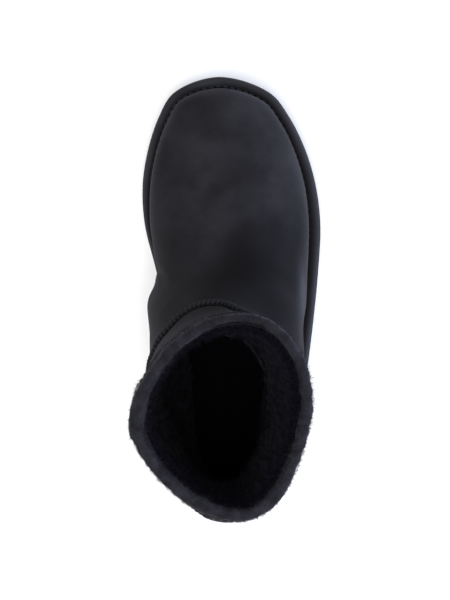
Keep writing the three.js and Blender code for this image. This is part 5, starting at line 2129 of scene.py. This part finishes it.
@dataclass
class WoolInside:
    """Wool pile of the lining and the footbed, with loose fibres that stand out of it."""

    sole: SoleForm
    upper: UpperForm
    shop: Workshop
    pile: float = 2.0
    locks: Layers = ((2.4, 5.5, 31), (1.1, 5.5 / 2.3, 32))
    swell: Layers = ((1.2, 17, 33),)
    bed_locks: Layers = ((1.8, 5.5, 41), (0.9, 5.5 / 2.3, 42))
    deepens: Ramp = Ramp(5, 38)  # these run down from the collar's edge
    fills: Ramp = Ramp(2, 7)
    swells: Ramp = Ramp(8, 16)
    # Painted shade down the boot: its strength, and from how far below the collar's edge it begins.
    dark: float = 0.85
    dark_from: float = 6.0
    thick: Table = field(
        default_factory=lambda: {
            "at": (0, 0.25, 0.5, 0.75, 1),
            "more": (10.0, 9.0, 12.0, 2.0, 10.0),
            "lit": (34.0, 38.0, 42.0, 38.0, 34.0),
        }
    )
    footbed_height: float = 6.0
    footbed_dish: float = 1.0
    columns: int = 420
    rows: int = 150
    fibres: int = 7500
    seed: int = 11

    def pile_depth(self, u: Array, v: Array) -> Array:
        """How far the pile's face stands in from the upper's outer face.

        Args:
            u: Shares round.
            v: Shares up.

        Returns:
            One depth for each.
        """
        wall = self.upper.at(u, v, -self.upper.wall)
        drop = np.linalg.norm(wall - self.upper.at(u, 1.0, -self.upper.wall), axis=-1)
        locks = lumps(wall, self.locks, folded=True)
        swell = lumps(wall, self.swell) * self.swells.at(drop)
        more = column(self.thick, "more", np.asarray(u) % 1) * self.deepens.at(drop)
        return self.upper.wall + 0.3 + self.fills.at(drop) * (self.pile + more + locks + swell)

    def gloom(self, u: Array, drop: Array) -> Array:
        """How dark the pile is at a distance below the collar's edge, where little light comes down."""
        return self.dark * Ramp(self.dark_from, column(self.thick, "lit", np.asarray(u) % 1)).at(drop)

    def build_lining(self) -> None:
        """Lining from the footbed to the collar."""
        u = np.arange(self.columns) / self.columns
        v = np.linspace(0, 1, self.rows)
        uu, vv = np.meshgrid(u, v, indexing="ij")
        depth = self.pile_depth(uu, vv)
        face = self.upper.at(uu, vv, -depth)
        back_v = np.linspace(1, 0, 14)
        bu, bv = np.meshgrid(u, back_v, indexing="ij")
        back = self.upper.at(bu, bv, -self.upper.wall + 1.4)
        grid = np.concatenate([face, back], 1)
        bare = self.upper.wall + self.pile + column(self.thick, "more", u)[:, None]
        # Painted shade where the pile is thin, down between its locks.
        gaps = 0.5 * (1 - smooth((depth - bare) / 2.4))
        gloom = self.gloom(uu, np.linalg.norm(face - face[:, -1:], axis=-1))
        # Painted shade down the boot as well, and full on the lining's hidden back.
        deep = np.concatenate([gaps + gloom, np.ones(bu.shape)], 1)
        parts = MeshParts()
        parts.add(grid, lattice(*grid.shape[:2], True, True), shade=np.minimum(deep, 1))
        self.shop.piece("wool_lining", parts, WOOL, Slot.WOOL)

    def build_footbed(self) -> None:
        """Fleece footbed that fills the floor of the boot."""
        count = 300
        u = np.arange(count) / count
        edge = self.upper.at(u, self.upper.level(u, self.footbed_height), -self.upper.wall - 0.6)
        seat = self.sole.top(edge[:, 1]) + self.upper.clearance
        loops = [np.concatenate([edge[:, :2], seat[:, None]], 1)]
        for share in np.concatenate([[1.0], np.linspace(0.985, 0.04, 66)]):
            xy = mix(self.sole.centre, edge[:, :2], share)
            bed = self.sole.top(xy[:, 1]) + self.upper.clearance + self.footbed_height
            bed = bed - self.footbed_dish * smooth((1 - share) / 0.16)
            ring = np.concatenate([xy, bed[:, None]], 1)
            ring[:, 2] += lumps(ring, self.bed_locks, folded=True) * (share < 1)
            loops.append(ring)
        parts = MeshParts()
        stack = np.stack(loops)
        last = (len(loops) - 1) * count
        bottom = [face[:, ::-1] for face in strips(0, count)]
        # Painted shade: the footbed is painted dark all over, deep in the boot.
        parts.add(stack, lattice(len(loops), count, False, True), *bottom, *strips(last, count), shade=1.0)
        self.shop.piece("fleece_footbed", parts, WOOL, Slot.WOOL, "insole")

    def build_fibres(self) -> None:
        """Loose crimped fibres over the pile, thickest where it rises past the binding."""
        rng = np.random.default_rng(self.seed)
        count = self.fibres
        u, pick = rng.random(count), rng.random(count)
        edge = 3.5 + 6 * rng.random(count)
        drop = np.where(pick < 0.5, edge, 7 + 60 * rng.random(count) ** 1.4)
        v = self.upper.below_edge(u, drop)
        depth = np.maximum(self.pile_depth(u, v), np.where(drop < 8, self.upper.wall + 1.7, 0))
        base = self.upper.at(u, v, -depth + 0.5)
        rise = unit(self.upper.at(u, np.minimum(v + 0.02, 1.0)) - self.upper.at(u, v - 0.02))
        lean = unit(0.8 * rise - self.upper.normal(u, v) + 0.6 * rng.normal(size=(count, 3)))
        parts = MeshParts()
        points, sides, ends = fibre_forms(rng, base, lean, 1.6 + 2.0 * rng.random(count), 0.17)
        # Painted shade on the fibres, deepening down the boot as on the lining.
        parts.add_many(points, sides, ends, shade=self.gloom(u, drop)[:, None])
        self.shop.piece("wool_fibres", parts, WOOL, Slot.WOOL)

    def build(self) -> None:
        """Builds every piece of the inside."""
        self.build_lining()
        self.build_footbed()
        self.build_fibres()


@dataclass
class Studio:
    """Plain white studio: paper floor, soft lights, and the camera straight above the boot."""

    sole: SoleForm
    camera_height: float = 0.958
    camera_along: float = 133.6  # from the heel's end, in millimetres
    lens: float = 92.82
    paper: float = 6.0
    aim_height: float = 0.06
    surround: float = 0.7

    def build_floor(self) -> None:
        """Paper floor, with a soft rise at its far edges."""
        count = 41
        line = np.linspace(-1, 1, count)
        x, y = np.meshgrid(line * self.paper, line * self.paper, indexing="ij")
        rise = 0.6 * smooth((np.maximum(np.abs(x), np.abs(y)) / self.paper - 0.85) / 0.15)
        mesh = bpy.data.meshes.new("paper_floor")
        points = np.stack([x, y, rise], -1).reshape(-1, 3)
        mesh.from_pydata(points.tolist(), [], lattice(count, count, False, False)[:, ::-1].tolist())
        floor = bpy.data.objects.new("paper_floor", mesh)
        bpy.context.scene.collection.objects.link(floor)
        mesh.materials.append(finish(PAPER))
        for face in mesh.polygons:
            face.use_smooth = True

    def softbox(
        self, name: str, place: tuple[float, float, float], size: float, power: float, tint: str
    ) -> None:
        """Adds one soft light that points at the boot.

        Args:
            name: Name of the light.
            place: Where it hangs, in metres.
            size: Side of its square.
            power: Power in watts.
            tint: Its colour.
        """
        data = bpy.data.lights.new(name, "AREA")
        data.shape, data.size, data.energy = "SQUARE", size, power
        data.color = linear(tint)[:3]
        lamp = bpy.data.objects.new(name, data)
        bpy.context.scene.collection.objects.link(lamp)
        lamp.location = place
        x, y, z = place
        tilt = math.atan2(math.hypot(x, y), z - self.aim_height)
        lamp.rotation_euler = (tilt, 0, math.atan2(y, x) + math.pi / 2)
        lamp.visible_camera = False

    def build_lights(self) -> None:
        """A large key from the boot's outer side, one fill from above, and an even white surround."""
        self.softbox("side_light", (1.3, -0.05, 0.22), size=0.5, power=30, tint="#d2deff")
        self.softbox("top_light", (-0.15, -0.55, 1.75), size=1.3, power=38, tint="#ffffff")
        world = bpy.data.worlds.new("white_surround")
        bpy.context.scene.world = world
        world.use_nodes = True
        world.node_tree.nodes.clear()
        shell = add_node(world.node_tree, "Background", {"Color": "#ffffff", "Strength": self.surround})
        add_node(world.node_tree, "OutputWorld", {"Surface": shell})

    def build_camera(self) -> None:
        """Camera straight above the boot, with the toe at the top of the picture."""
        data = bpy.data.cameras.new("camera")
        data.lens, data.sensor_width, data.sensor_fit = self.lens, 36, "AUTO"
        data.clip_start, data.clip_end = 0.05, 50
        camera = bpy.data.objects.new("camera", data)
        bpy.context.scene.collection.objects.link(camera)
        shift = self.sole.shift
        camera.location = (shift[0] * MM, (self.camera_along + shift[1]) * MM, self.camera_height)
        bpy.context.scene.camera = camera

    def build(self) -> None:
        """Builds the whole studio."""
        self.build_floor()
        self.build_lights()
        self.build_camera()
        bpy.context.scene.view_settings.view_transform = "Standard"


FOLDS = (
    Fold(Side.INNER, ((156, 3), (154, 20), (149.5, 42), (142, 64)), 1.15, 4.2),
    Fold(Side.INNER, ((139, 8), (137, 26), (132, 46)), -0.9, 9),
    Fold(Side.OUTER, ((186, 34), (168, 46), (146, 62), (134, 80)), 1.4, 15),
    Fold(Side.OUTER, ((126, 20), (118, 45), (108, 70)), 0.9, 12),
    Fold(Side.INNER, ((112, 95), (98, 84), (84, 62)), 0.8, 9),
)


def main() -> None:
    """Builds the boot and its studio, piece by piece."""
    logging.basicConfig(level=logging.INFO, format="%(name)s: %(message)s")
    sole = SoleForm()
    upper = UpperForm(sole)
    upper.dress(FOLDS)
    shop = Workshop(sole)
    for assembly in (
        FoamSole(sole, upper, shop),
        SuedeUpper(sole, upper, shop),
        CollarBinding(sole, upper, shop),
        WoolInside(sole, upper, shop),
        Studio(sole),
    ):
        assembly.build()
        log.info("%s is done", type(assembly).__name__)


if __name__ == "__main__":
    main()
